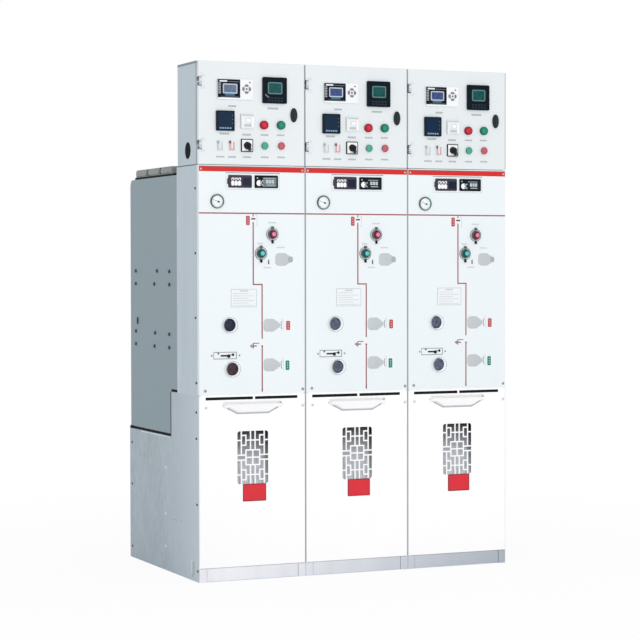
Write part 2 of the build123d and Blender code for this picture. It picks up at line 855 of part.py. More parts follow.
def make_busbar_duct():
    """Busbar duct along the tops of the tanks, with one ridge for each phase."""
    length = row_width - 2 * duct_inset
    with BuildPart() as busbar_duct:
        with BuildSketch(level(tank_top + duct_seal_height)):
            with Locations((0, duct_front + phase_count * duct_ridge_pitch / 2)):
                Rectangle(length, phase_count * duct_ridge_pitch - duct_groove)
        extrude(amount=duct_height)
        top_edges = busbar_duct.edges().filter_by(Axis.X).group_by(Axis.Z)[-1]
        fillet(top_edges, radius=duct_corner)
        with BuildSketch(level(tank_top + duct_seal_height + duct_groove_level)):
            for groove in range(1, phase_count):
                with Locations((0, duct_front + groove * duct_ridge_pitch)):
                    Rectangle(length, duct_groove)
        extrude(amount=duct_height, mode=Mode.SUBTRACT)
    save(busbar_duct, "busbar_duct")


make_plinth_front()
make_grille_shades()
make_pressure_gauges()
make_instrument_windows()
make_sight_windows()
make_access_shutters()
make_button_bezels()
make_tank_seals()
make_busbar_duct()
for unit in range(1, module_count + 1):
    make_cable_box(unit)
    make_cable_door(unit)
    make_mechanism_box(unit)
    make_mechanism_cover(unit)
    make_push_button(unit, on_button_place, "push_button_on")
    make_push_button(unit, off_button_place, "push_button_off")
    make_lv_box(unit)
    make_lv_door(unit)
    make_door_instruments(unit)
    make_selector_knob(unit)
    make_door_lock(unit)
    make_gas_tank(unit)
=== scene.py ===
"""Looks of a three-module switchgear row: finishes, device faces, trim and a plain studio."""

import logging
import math
from collections.abc import Iterable
from dataclasses import dataclass
from enum import Enum
from typing import NamedTuple

import bmesh
import bpy
from mathutils import Matrix, Vector


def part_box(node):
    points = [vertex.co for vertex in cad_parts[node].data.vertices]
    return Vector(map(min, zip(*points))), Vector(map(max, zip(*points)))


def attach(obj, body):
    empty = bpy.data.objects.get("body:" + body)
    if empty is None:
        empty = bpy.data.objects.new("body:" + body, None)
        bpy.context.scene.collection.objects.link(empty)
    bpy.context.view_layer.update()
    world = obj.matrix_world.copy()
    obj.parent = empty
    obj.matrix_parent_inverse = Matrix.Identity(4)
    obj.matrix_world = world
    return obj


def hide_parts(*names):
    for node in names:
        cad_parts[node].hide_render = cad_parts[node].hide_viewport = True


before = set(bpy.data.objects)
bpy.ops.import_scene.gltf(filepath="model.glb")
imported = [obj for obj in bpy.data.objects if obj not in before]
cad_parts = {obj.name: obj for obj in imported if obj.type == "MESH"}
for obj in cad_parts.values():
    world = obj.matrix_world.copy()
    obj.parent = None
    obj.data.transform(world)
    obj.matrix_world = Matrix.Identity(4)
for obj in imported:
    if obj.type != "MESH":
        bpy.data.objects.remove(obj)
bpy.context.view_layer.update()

LOG = logging.getLogger("switchgear")
MM = 0.001
WELD = 0.001           # millimetres; points nearer than this are one
SHARP_ANGLE = math.radians(35)
TURN_STEPS = 48
CORNER_STEPS = 5
EDGE_STEPS = 3
SPANGLE_SCALE = 70.0
SPANGLE_SHARE = 0.35
COAT_ROUGHNESS = 0.08
MODULE_COUNT = 3
ROOT = "switchgear"

Pair = tuple[float, float]
Triple = tuple[float, float, float]
Colour = tuple[int, int, int]


class GrainLook(NamedTuple):
    """How a grain shows: pattern sizes per metre, upright stretch, bump depth in metres, and strengths."""

    fine: float
    coarse: float
    upright: float
    depth: float
    bump: float
    tone: float
    gloss_spread: float


class Grain(Enum):
    """Surface structures that the row's materials show."""

    POWDER_COAT = GrainLook(420, 2.4, 1, 0.0003, 0.10, 0.015, 0.06)
    GALVANISED = GrainLook(60, 9, 0.45, 0.0003, 0.10, 0.230, 0.10)
    SATIN_SHEET = GrainLook(500, 11, 0.22, 0.0002, 0.10, 0.120, 0.08)
    STAINLESS = GrainLook(900, 3, 0.03, 0.0002, 0.12, 0.030, 0.10)
    CAST_RESIN = GrainLook(90, 32, 1, 0.0012, 0.55, 0.260, 0.08)
    MOULDED = GrainLook(1500, 20, 1, 0.0002, 0.12, 0.030, 0.06)
    POLISHED = GrainLook(300, 12, 1, 0.0001, 0.03, 0.020, 0.03)
    PRINT = GrainLook(900, 30, 1, 0.0001, 0.04, 0.030, 0.04)
    RUBBER = GrainLook(800, 15, 1, 0.0003, 0.25, 0.080, 0.08)
    # the strong tone drift paints blotchy highlights on the sight panes
    SIGHT_GLASS = GrainLook(300, 120, 1, 0.0001, 0.03, 1.000, 0.03)
    SCREEN = GrainLook(300, 110, 1, 0.0001, 0.03, 0.700, 0.03)


class Fade(NamedTuple):
    """Change of a finish's colour along an axis of the row, from a start to an end in metres; it paints
    light and shade into the colour.
    """

    axis: str
    start: float
    end: float
    colour: Colour


def linear(colour: Colour) -> tuple[float, ...]:
    """Turn a display colour into the renderer's linear one.

    Args:
        colour: red, green and blue from 0 to 255.

    Returns:
        Linear red, green, blue and an alpha of 1.
    """
    parts = [c / 255 for c in colour]
    return (*(p / 12.92 if p <= 0.04045 else ((p + 0.055) / 1.055) ** 2.4 for p in parts), 1.0)


class Tree:
    """Node tree of a material or a world, built node by node."""

    def __init__(self, owner: bpy.types.Material | bpy.types.World) -> None:
        """Open the owner's tree."""
        owner.use_nodes = True
        self.nodes = owner.node_tree.nodes
        self.links = owner.node_tree.links

    def feed(self, node: bpy.types.Node, inputs: dict) -> bpy.types.Node:
        """Set a node's inputs to values, or link them to outputs of other nodes.

        Args:
            node: the node.
            inputs: values or outputs, by the names or numbers of the inputs.

        Returns:
            The node.
        """
        for key, value in inputs.items():
            if isinstance(value, bpy.types.NodeSocket):
                self.links.new(value, node.inputs[key])
            else:
                node.inputs[key].default_value = value
        return node

    def add(self, kind: str, inputs: dict, output: str | int = 0, **choices: str) -> bpy.types.NodeSocket:
        """Add a node.

        Args:
            kind: its type, without the prefix of all shader nodes.
            inputs: what its inputs take, as for feed.
            output: name or number of the output that is wanted.
            choices: settings of the node itself.

        Returns:
            The output that is wanted.
        """
        node = self.nodes.new(f"ShaderNode{kind}")
        for name, choice in choices.items():
            setattr(node, name, choice)
        return self.feed(node, inputs).outputs[output]


@dataclass(frozen=True)
class Finish:
    """One surface finish of the row.

    Args:
        name: name of the finish and of its material.
        slot: the record's material slot that the finish belongs to.
        grain: surface structure.
        colour: display colour, 0 to 255.
        roughness: mean roughness.
        shine: specular level, lower for dark panels that must not mirror the room.
        coat: weight of a clear coat.
        metallic: 1 for bare metal.
        glow: strength of a lit lamp or screen.
        fade: change of the colour along an axis, which paints light and shade.
    """

    name: str
    slot: str
    grain: Grain
    colour: Colour
    roughness: float = 0.45
    shine: float = 0.5
    coat: float = 0.0
    metallic: float = 0.0
    glow: float = 0.0
    fade: Fade | None = None

    def material(self) -> bpy.types.Material:
        """The finish's material, made at its first use and shared after it."""
        return bpy.data.materials.get(self.name) or self._build()

    def _build(self) -> bpy.types.Material:
        """Make the node tree: tone and gloss drift slowly, and the fine grain is bump."""
        look = self.grain.value
        base = linear(self.colour)
        material = bpy.data.materials.new(self.name)
        tree = Tree(material)
        place = tree.add("TexCoord", {}, "Object")
        spread = tree.add("Mapping", {"Vector": place, "Scale": (1, 1, look.upright)})
        drift = tree.add("TexNoise", {"Vector": spread, "Scale": look.coarse, "Detail": 3}, "Fac")
        if self.grain is Grain.GALVANISED:
            flowers = tree.add("TexVoronoi", {"Vector": spread, "Scale": SPANGLE_SCALE}, "Color")
            drift = tree.add("Mix", {0: SPANGLE_SHARE, 2: drift, 3: tree.add("RGBToBW", {0: flowers})})
        dark, light = ([min(max(part * tone, 0), 1) for part in base[:3]] + [1]
                       for tone in (1 - look.tone, 1 + look.tone))
        colour = tree.add("Mix", {0: drift, 6: dark, 7: light}, 2, data_type="RGBA")
        # painted light and shade: the colour moves towards the fade's colour along one axis
        if self.fade:
            along = tree.add("SeparateXYZ", {0: place}, self.fade.axis)
            share = tree.add("MapRange", {
                "Value": along, "From Min": self.fade.start, "From Max": self.fade.end})
            colour = tree.add("Mix", {0: share, 6: colour, 7: linear(self.fade.colour)}, 2, data_type="RGBA")
        smooth, rough = self.roughness - look.gloss_spread, self.roughness + look.gloss_spread
        gloss = tree.add("MapRange", {"Value": drift, "To Min": max(smooth, 0.02), "To Max": min(rough, 1)})
        fine = tree.add("TexNoise", {"Vector": spread, "Scale": look.fine, "Detail": 2}, "Fac")
        inputs = {
            "Base Color": colour, "Roughness": gloss, "Metallic": self.metallic,
            "Specular IOR Level": self.shine, "Coat Weight": self.coat, "Coat Roughness": COAT_ROUGHNESS,
            "Normal": tree.add("Bump", {"Height": fine, "Strength": look.bump, "Distance": look.depth}),
        }
        if self.glow:
            inputs |= {"Emission Color": base, "Emission Strength": self.glow}
        tree.feed(tree.nodes["Principled BSDF"], inputs)
        return material


FINISH_TABLE: dict[tuple[str, Grain], dict[str, tuple]] = {
    ("fronts_white", Grain.POWDER_COAT): {
        "lv_front_white": ((228, 234, 236), 0.42, 0.5, 0.1),
        "cover_white": ((234, 241, 244), 0.42, 0.5, 0.1),
        "cable_door_white": ((254, 254, 255), 0.42, 0.5, 0.1),
        # painted shadow: the grey line under the pull scoop
        "scoop_painted_shadow": ((176, 180, 184), 0.45),
    },
    ("fronts_white", Grain.SATIN_SHEET): {
        # painted shade: the plinth's front darkens towards the right end of the row
        "plinth_pale": ((236, 238, 243), 0.50, 0.5, 0, 0, 0, Fade("X", -0.45, 0.62, (170, 178, 188))),
    },
    ("side_grey", Grain.SATIN_SHEET): {
        "side_sheet": ((199, 213, 222), 0.50, 0.3),
        "roof_dark_line": ((134, 144, 154), 0.45, 0.3),
    },
    ("base_grey", Grain.GALVANISED): {
        # painted light: the galvanised sides lighten towards the fronts and darken towards the back
        "base_sheet": ((178, 191, 200), 0.50, 0.3, 0, 0, 0, Fade("Y", 0.02, -0.36, (202, 214, 223))),
    },
    ("base_grey", Grain.SATIN_SHEET): {
        # painted shade: the plates behind the grille darken to near black towards their top
        "grille_shade": ((204, 207, 212), 0.50, 0.3, 0, 0, 0, Fade("Z", 0.44, 0.55, (34, 32, 36))),
    },
    ("tank_steel", Grain.STAINLESS): {
        "tank_plate": ((148, 166, 174), 0.50, 0.3, 0, 0.15),
    },
    ("tank_steel", Grain.MOULDED): {
        "weld_bead": ((136, 148, 154), 0.42, 0.5, 0, 0.4),
    },
    ("seal_black", Grain.RUBBER): {
        "seal_rubber": ((18, 22, 26), 0.75, 0.2),
        "seal_edge": ((58, 70, 78), 0.60, 0.1),
    },
    ("duct_grey", Grain.CAST_RESIN): {
        "duct_resin": ((148, 155, 154), 0.60),
    },
    ("duct_grey", Grain.RUBBER): {
        "duct_groove_shade": ((58, 68, 70), 0.70, 0.2),
    },
    ("shutter_grey", Grain.POWDER_COAT): {
        "shutter_plate": ((192, 197, 201), 0.40),
        "shutter_neck": ((188, 198, 202), 0.40),
    },
    ("shutter_grey", Grain.MOULDED): {
        "shutter_tongue": ((168, 173, 177), 0.50),
    },
    ("rim_white", Grain.MOULDED): {
        "rim_plastic": ((250, 251, 252), 0.30, 0.5, 0.3),
        # painted light: the tubes' inner wall glows so that it shows white in its shade
        "rim_inside_painted_light": ((250, 251, 252), 0.40, 0.5, 0, 0, 0.30),
    },
    ("rim_white", Grain.POLISHED): {
        "rim_edge": ((112, 116, 122), 0.35, 0.2),
    },
    ("pane_dark", Grain.SIGHT_GLASS): {
        "sight_pane": ((46, 50, 66), 0.30, 0.05),
        "sight_pane_plum": ((74, 56, 64), 0.30, 0.05),
        "sight_pane_slate": ((88, 96, 112), 0.30, 0.05),
    },
    ("device_black", Grain.MOULDED): {
        "device_case": ((36, 42, 48), 0.50, 0.05),
        "relay_case": ((244, 246, 248), 0.38, 0.5, 0.1),
        "relay_key": ((126, 129, 134), 0.40, 0.2),
        "relay_key_ring": ((210, 214, 216), 0.40),
        "controller_case": ((16, 28, 36), 0.40, 0.04),
        "controller_screen_frame": ((96, 132, 132), 0.30, 0.1),
        "controller_key": ((46, 56, 70), 0.40, 0.05),
        # painted glint: a pale arc that stands in for a reflection on the controller
        "controller_painted_glint": ((120, 130, 132), 0.35, 0.1),
        "meter_case": ((24, 38, 54), 0.40, 0.04),
        "counter_case": ((230, 233, 235), 0.35, 0.5, 0.2),
        "indicator_frame": ((70, 64, 80), 0.40, 0.06),
        "indicator_lens_shade": ((176, 178, 204), 0.30),
        "monitor_frame": ((20, 32, 38), 0.40, 0.04),
    },
    ("device_black", Grain.PRINT): {
        "relay_panel": ((22, 26, 36), 0.40, 0.04),
        "relay_screen_frame": ((196, 206, 216), 0.35, 0.1),
        "relay_strip": ((78, 118, 150), 0.30, 0.05),
        "pale_mark": ((226, 231, 236), 0.40, 0.2),
        "tick_grey": ((176, 182, 192), 0.40, 0.2),
        "line_grey": ((104, 110, 122), 0.40, 0.2),
        "small_red_mark": ((190, 104, 114), 0.40, 0.2),
        "meter_segment": ((132, 164, 200), 0.35, 0.1),
        "counter_line": ((188, 192, 195), 0.40),
        "counter_band": ((196, 199, 202), 0.40),
        "monitor_figures": ((212, 220, 222), 0.30, 0.1),
    },
    ("device_black", Grain.SCREEN): {
        "relay_screen": ((104, 118, 146), 0.20, 0.05),
        "relay_screen_blue": ((66, 84, 132), 0.20, 0.05),
        "controller_screen": ((30, 82, 82), 0.20, 0.05),
        "indicator_screen": ((32, 40, 60), 0.20, 0.05),
        "monitor_display_lit": ((112, 130, 134), 0.20, 0.05),
    },
    ("device_black", Grain.POLISHED): {
        "meter_glass": ((26, 46, 68), 0.25, 0.04),
        "monitor_display": ((34, 44, 50), 0.20, 0.05),
    },
    ("gauge_white", Grain.MOULDED): {
        "white_plastic": ((250, 251, 252), 0.35, 0.5, 0.2),
    },
    ("button_red", Grain.POLISHED): {
        "lamp_rim_red": ((140, 24, 40), 0.30, 0.2),
        "lamp_lens_red": ((198, 30, 52), 0.20, 0.25, 0, 0, 0.05),
    },
    ("button_green", Grain.POLISHED): {
        "lamp_rim_green": ((14, 98, 76), 0.30, 0.2),
        "lamp_lens_green": ((18, 136, 104), 0.20, 0.25, 0, 0, 0.05),
    },
    ("button_green", Grain.MOULDED): {
        "press_cap_green": ((70, 160, 136), 0.35, 0.3),
        "position_green": ((44, 126, 118), 0.35, 0.15),
        "on_button_cap": ((98, 198, 196), 0.30, 0.3),
        "on_button_cap_shade": ((34, 128, 128), 0.35, 0.2),
    },
    ("button_red", Grain.MOULDED): {
        "press_cap_red": ((190, 86, 98), 0.35, 0.3),
        "position_red": ((186, 74, 80), 0.35, 0.15),
        "off_button_cap": ((236, 128, 156), 0.30, 0.3),
        "off_button_cap_shade": ((150, 62, 88), 0.35, 0.2),
    },
    ("bezel_grey", Grain.POLISHED): {
        "press_rim": ((150, 158, 156), 0.28, 0.5, 0, 0.2),
        "button_ring_edge": ((128, 136, 140), 0.30, 0.5, 0, 0.3),
        "button_ring": ((234, 237, 239), 0.30),
        "button_collar": ((96, 102, 106), 0.30, 0.5, 0, 0.5),
        "hinge_bush": ((196, 200, 203), 0.40, 0.3),
    },
    ("bezel_grey", Grain.MOULDED): {
        "link_grey": ((200, 207, 207), 0.40),
        "link_red": ((218, 156, 162), 0.40),
        "link_plug_grey": ((158, 170, 168), 0.40),
        "link_plug_red": ((122, 60, 78), 0.40, 0.3),
        "dark_trim": ((34, 38, 42), 0.50, 0.06),
        "mid_trim": ((104, 109, 114), 0.50, 0.15),
        "joint_strip": ((150, 155, 163), 0.50, 0.3),
        "off_button_collar": ((104, 40, 60), 0.40, 0.15),
        "on_button_collar": ((22, 88, 92), 0.40, 0.15),
        "button_hasp": ((92, 102, 100), 0.42, 0.15),
    },
    ("fronts_white", Grain.PRINT): {
        "caption_strip": ((170, 174, 178), 0.50),
        "instrument_frame_shaded_top": ((122, 112, 112), 0.45),
        "instrument_frame_pale": ((214, 217, 222), 0.45),
        "notice_plate": ((236, 241, 244), 0.45),
        "plate_rule": ((138, 143, 148), 0.50),
        "notice_rule": ((202, 206, 209), 0.50),
    },
    ("knob_black", Grain.MOULDED): {
        "knob_plastic": ((34, 38, 40), 0.45, 0.08),
        "lock_plastic": ((46, 52, 58), 0.42, 0.08),
        "knob_lever": ((96, 100, 104), 0.35),
    },
    ("button_red", Grain.PRINT): {
        "title_band_red": ((216, 50, 48), 0.40, 0.1),
        "title_band_painted_shadow": ((134, 100, 96), 0.40, 0.2),
        "mimic_line": ((158, 88, 92), 0.45, 0.1),
        "mimic_dark": ((112, 40, 50), 0.45, 0.2),
        "position_mark_red": ((232, 158, 158), 0.40),
        "red_plate": ((220, 50, 62), 0.40, 0.15),
        "red_plate_border": ((146, 48, 62), 0.40, 0.15),
    },
    ("bezel_grey", Grain.PRINT): {
        "mimic_grey": ((140, 142, 146), 0.45),
    },
    ("button_green", Grain.PRINT): {
        "position_mark_green": ((152, 204, 194), 0.40),
    },
    ("gauge_white", Grain.POLISHED): {
        "gauge_rim": ((78, 98, 98), 0.35, 0.2),
        "gauge_rim_pale": ((158, 168, 168), 0.35, 0.2),
    },
    ("gauge_white", Grain.PRINT): {
        "gauge_dial": ((240, 247, 247), 0.35, 0.5, 0.1),
        "gauge_green_arc": ((64, 136, 116), 0.40, 0.1),
        "dial_mark": ((186, 190, 192), 0.45),
        "gauge_needle": ((150, 148, 152), 0.40),
    },
    ("tank_steel", Grain.POLISHED): {
        "screw_steel": ((168, 172, 175), 0.40, 0.3),
        "screw_pale": ((216, 219, 221), 0.40, 0.3),
        "side_screw": ((52, 60, 68), 0.45, 0.1),
        "tank_stud": ((72, 84, 92), 0.45, 0.1),
    },
    ("side_grey", Grain.MOULDED): {
        "pale_stud_and_highlight": ((226, 234, 238), 0.30),
    },
}
FINISHES = {
    name: Finish(name, slot, grain, *values)
    for (slot, grain), rows in FINISH_TABLE.items() for name, values in rows.items()
}


class Side(Enum):
    """Ways that a face of the row looks: its axes u to the right, v up and w outwards, seen from outside."""

    FRONT = ((1, 0, 0), (0, 0, 1), (0, -1, 0))
    LEFT = ((0, -1, 0), (0, 0, 1), (-1, 0, 0))
    RIGHT = ((0, 1, 0), (0, 0, 1), (1, 0, 0))
    BACK = ((-1, 0, 0), (0, 0, 1), (0, 1, 0))
    TOP = ((1, 0, 0), (0, 1, 0), (0, 0, 1))

    def at(self, x: float, y: float, z: float) -> Matrix:
        """Transform from the millimetres of a face with its origin here to the row's metres."""
        turn = Matrix(self.value).transposed().to_4x4()
        return Matrix.Translation((x, y, z)) @ turn @ Matrix.Scale(MM, 4)


class Rect(NamedTuple):
    """Upright rectangle on a face, in millimetres."""

    left: float
    right: float
    low: float
    high: float

    def grown(self, amount: float) -> "Rect":
        """The same rectangle, larger by an amount on every side."""
        return Rect(self.left - amount, self.right + amount, self.low - amount, self.high + amount)

    @staticmethod
    def about(place: Pair, width: float, height: float) -> "Rect":
        """Rectangle of a size about its middle."""
        u, v = place
        return Rect(u - width / 2, u + width / 2, v - height / 2, v + height / 2)


def rounded_corner(radius: float, height: float, edge: float) -> list[Pair]:
    """Quarter round of a turned profile, from the front round to the side.

    Args:
        radius: radius of the side.
        height: height of the front.
        edge: radius of the quarter round.

    Returns:
        Points of radius and height.
    """
    turns = [step * math.pi / (2 * EDGE_STEPS) for step in range(EDGE_STEPS + 1)]
    return [(radius - edge + edge * math.sin(t), height - edge + edge * math.cos(t)) for t in turns]


class Shape:
    """A mesh in a face's millimetres, put together from solids of one or more finishes."""

    def __init__(self, finish: str) -> None:
        """Start an empty mesh in its main finish, whose slot the piece takes."""
        self.mesh = bmesh.new()
        self.finishes = [FINISHES[finish]]
        self.current = 0

    def use(self, finish: str) -> "Shape":
        """Give the solids that follow another finish."""
        if FINISHES[finish] not in self.finishes:
            self.finishes.append(FINISHES[finish])
        self.current = self.finishes.index(FINISHES[finish])
        return self

    def _take(self, solid: bmesh.types.BMesh) -> "Shape":
        """Weld a solid, point its faces outwards and add it in the finish in use."""
        bmesh.ops.remove_doubles(solid, verts=solid.verts, dist=WELD)
        bmesh.ops.recalc_face_normals(solid, faces=solid.faces)
        for face in solid.faces:
            face.material_index = self.current
        store = bpy.data.meshes.new("solid")
        solid.to_mesh(store)
        solid.free()
        self.mesh.from_mesh(store)
        bpy.data.meshes.remove(store)
        return self

    @staticmethod
    def _bevel(solid: bmesh.types.BMesh, edges: list[bmesh.types.BMEdge], radius: float, steps: int) -> None:
        """Round edges of a solid by a radius, in steps."""
        bmesh.ops.bevel(solid, geom=edges, offset=radius, offset_type="OFFSET", segments=steps, profile=0.5,
                        affect="EDGES", material=-1, clamp_overlap=True)

    @staticmethod
    def _block(area: Rect, base: float, top: float, corner: float, edge: float,
               turn: float) -> bmesh.types.BMesh:
        """Block on a rectangle, with rounded upright edges and a rounded front edge."""
        solid = bmesh.new()
        middle = ((area.left + area.right) / 2, (area.low + area.high) / 2, (base + top) / 2)
        size = (area.right - area.left, area.high - area.low, top - base, 1.0)
        place = Matrix.Translation(middle) @ Matrix.Rotation(math.radians(turn), 4, "Z")
        bmesh.ops.create_cube(solid, size=1.0, matrix=place @ Matrix.Diagonal(size))
        if corner > 0:
            uprights = [e for e in solid.edges if abs(e.verts[0].co.z - e.verts[1].co.z) > WELD]
            Shape._bevel(solid, uprights, corner, CORNER_STEPS)
        if edge > 0:
            rim = [e for e in solid.edges if all(abs(v.co.z - top) < WELD for v in e.verts)]
            Shape._bevel(solid, rim, edge, EDGE_STEPS)
        return solid

    def slab(self, area: Rect, base: float, top: float, corner: float = 0, edge: float = 0,
             turn: float = 0) -> "Shape":
        """Add a plate.

        Args:
            area: its outline.
            base: height of its back over the face.
            top: height of its front.
            corner: radius of its corners.
            edge: radius of its front edge.
            turn: degrees that it is turned about its middle.

        Returns:
            The shape itself.
        """
        return self._take(self._block(area, base, top, corner, edge, turn))

    def plates(self, level: float, rows: Iterable[tuple]) -> "Shape":
        """Add plates in finishes of their own.

        Args:
            level: height over the face that the rows count from.
            rows: finish and outline of each plate, and then base, top, corner, edge and turn as for slab.

        Returns:
            The shape itself.
        """
        for finish, area, base, top, *others in rows:
            self.use(finish).slab(area, level + base, level + top, *others)
        return self

    def tray(self, area: Rect, base: float, top: float, border: float, floor: float, corner: float = 0,
             edge: float = 0) -> "Shape":
        """Add a plate with a recess: a border of a width at the top, and a floor at a height."""
        solid = self._block(area, base, top, corner, edge, 0)
        lid = max(solid.faces, key=lambda face: (round(face.calc_center_median().z, 4), face.calc_area()))
        bmesh.ops.inset_region(solid, faces=[lid], thickness=border, use_even_offset=True, use_boundary=True)
        pressed = bmesh.ops.extrude_discrete_faces(solid, faces=[lid])
        inner = {vert for face in pressed["faces"] for vert in face.verts}
        bmesh.ops.translate(solid, verts=list(inner), vec=(0, 0, floor - top))
        return self._take(solid)

    def turned(self, place: Pair, profile: list[Pair], stretch: float = 1, closed: bool = False) -> "Shape":
        """Add a solid turned about an axis that stands on the face.

        Args:
            place: where the axis stands.
            profile: points of radius and height along half the section.
            stretch: how many times as tall as wide an oval one is.
            closed: whether the profile closes on itself, as a ring's does.

        Returns:
            The shape itself.
        """
        solid = bmesh.new()
        points = [solid.verts.new((radius, 0, height)) for radius, height in profile]
        followers = points[1:] + points[:1] if closed else points[1:]
        lines = [solid.edges.new(pair) for pair in zip(points, followers)]
        bmesh.ops.spin(solid, geom=points + lines, cent=(0, 0, 0), axis=(0, 0, 1), dvec=(0, 0, 0),
                       angle=math.tau, steps=TURN_STEPS, use_merge=True, use_duplicate=False)
        bmesh.ops.scale(solid, vec=(1, stretch, 1), verts=solid.verts)
        bmesh.ops.translate(solid, vec=(*place, 0), verts=solid.verts)
        return self._take(solid)

    def knob(self, place: Pair, radius: float, base: float, top: float, edge: float,
             stretch: float = 1) -> "Shape":
        """Add a round or oval solid with a rounded front edge."""
        side = rounded_corner(radius, top, edge)
        return self.turned(place, [(0, top)] + side + [(radius, base), (0, base)], stretch)

    def dome(self, place: Pair, radius: float, base: float, top: float) -> "Shape":
        """Add a cap that swells from its rim to the middle."""
        angles = [step * math.pi / 12 for step in range(6)]
        swell = [(radius * math.sin(a), base + (top - base) * math.cos(a)) for a in angles]
        return self.turned(place, swell + [(radius, base), (0, base)])

    def ring(self, place: Pair, outer: float, inner: float, base: float, top: float, edge: float,
             lean: float = 0) -> "Shape":
        """Add a ring between two radii, with rounded front edges and an outside that leans in."""
        inner_edge = [(2 * inner - radius, height) for radius, height in rounded_corner(inner, top, edge)]
        profile = inner_edge[::-1] + rounded_corner(outer - lean, top, edge) + [(outer, base), (inner, base)]
        return self.turned(place, profile, closed=True)

    def arc(self, place: Pair, outer: float, inner: float, base: float, top: float, start: float,
            sweep: float) -> "Shape":
        """Add a part of a flat ring, from a start angle through a sweep, in degrees."""
        solid = bmesh.new()
        corners = [(inner, 0, base), (outer, 0, base), (outer, 0, top), (inner, 0, top)]
        points = [solid.verts.new(corner) for corner in corners]
        cap = solid.faces.new(points)
        turn = Matrix.Rotation(math.radians(start), 3, "Z")
        bmesh.ops.rotate(solid, verts=points, cent=(0, 0, 0), matrix=turn)
        bmesh.ops.spin(solid, geom=[cap] + list(solid.edges) + points, cent=(0, 0, 0), axis=(0, 0, 1),
                       dvec=(0, 0, 0), angle=math.radians(sweep), steps=max(4, round(abs(sweep) / 6)),
                       use_duplicate=False)
        bmesh.ops.holes_fill(solid, edges=solid.edges, sides=4)
        bmesh.ops.translate(solid, vec=(*place, 0), verts=solid.verts)
        return self._take(solid)

    def blocks(self, areas: Iterable[Rect], pitch: float = 6) -> "Shape":
        """Fill the places of captions with rows of bare blocks."""
        for area in areas:
            number = max(round((area.right - area.left) / pitch), 1)
            step = (area.right - area.left) / number
            for left in (area.left + place * step for place in range(number)):
                self.slab(Rect(left, left + step - 1.2, area.low, area.high), -0.1, 0.3, 0.8)
        return self

    def screws(self, places: Iterable[Pair], radius: float, base: float, cross: str) -> "Shape":
        """Add low screw heads, each with a cross in it."""
        steel, height = self.finishes[self.current].name, radius * 0.45
        for place in places:
            self.use(steel).dome(place, radius, base, base + height).use(cross)
            for angle in (20, 110):
                self.slab(Rect.about(place, radius * 1.1, radius * 0.22), base + height * 0.6,
                          base + height * 1.02, turn=angle)
        return self.use(steel)

    def make(self, name: str, face: Matrix, body: str = ROOT, replaced: str = "") -> None:
        """Finish the mesh as a piece, an object at the origin.

        Args:
            name: name of the piece.
            face: transform of the face that the mesh was built on.
            body: body that the piece rides on.
            replaced: piece of the frame that the piece stands in for.
        """
        self.mesh.transform(face)
        data = bpy.data.meshes.new(name)
        self.mesh.to_mesh(data)
        self.mesh.free()
        for finish in self.finishes:
            data.materials.append(finish.material())
        data.shade_smooth()
        data.set_sharp_from_angle(angle=SHARP_ANGLE)
        piece = bpy.data.objects.new(name, data)
        bpy.context.scene.collection.objects.link(piece)
        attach(piece, body)
        if replaced:
            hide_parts(replaced)
        LOG.info("%s: %d faces on %s", name, len(data.polygons), body)


class Housings:
    """Finishes of the pieces that the frame brings; those of the modules are named without their number."""

    finishes = {
        "plinth_front": "plinth_pale", "grille_shades": "grille_shade",
        "sight_panes": "sight_pane", "access_shutters": "shutter_plate",
        "tank_seals": "seal_rubber", "busbar_duct": "duct_resin",
        "pressure_gauges": "gauge_rim", "instrument_windows": "monitor_frame",
        "sight_rims": "rim_plastic", "button_bezels": "button_collar",
        "cable_box": "base_sheet", "cable_door": "cable_door_white",
        "mechanism_box": "side_sheet", "mechanism_cover": "cover_white",
        "lv_box": "side_sheet", "lv_door": "lv_front_white",
        "door_instruments": "device_case", "selector_knob": "knob_plastic",
        "door_lock": "lock_plastic", "push_button_on": "on_button_cap",
        "push_button_off": "off_button_cap", "gas_tank": "tank_plate",
    }

    def build(self) -> None:
        """Give every piece of the frame its finish."""
        for name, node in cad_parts.items():
            finish = FINISHES[self.finishes[name.rstrip("_0123456789")]]
            if not node.material_slots:
                node.data.materials.append(finish.material())
            for slot in node.material_slots:
                slot.material = finish.material()


@dataclass
class ModulePart:
    """What dresses one module of the row: its number, from 1 at the left, and its faces."""

    number: int

    def __post_init__(self) -> None:
        """Read the module's faces from the frame."""
        low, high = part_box(f"cable_box_{self.number}")
        door_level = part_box(f"lv_box_{self.number}")[0].z
        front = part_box(f"mechanism_cover_{self.number}")[0].y
        self.cable_face = Side.FRONT.at(low.x, front, 0)
        self.cover_face = Side.FRONT.at(low.x, front, high.z)
        self.door_face = Side.FRONT.at(low.x, front, door_level)
        self.hinge_face = Side.TOP.at(low.x, front, door_level)
        self.door_body = f"upper_door_{self.number}"

    def door(self, shape: Shape, base: str, body: str = "", replaced: str = "") -> None:
        """Make a shape a piece on the low-voltage door."""
        shape.make(f"{base}_{self.number}", self.door_face, body or self.door_body, replaced)

    def cover(self, shape: Shape, base: str, body: str = ROOT, replaced: str = "") -> None:
        """Make a shape a piece on the mechanism cover."""
        shape.make(f"{base}_{self.number}", self.cover_face, body, replaced)

    def cable_door(self, shape: Shape, base: str) -> None:
        """Make a shape a piece on the cable door."""
        shape.make(f"{base}_{self.number}", self.cable_face)


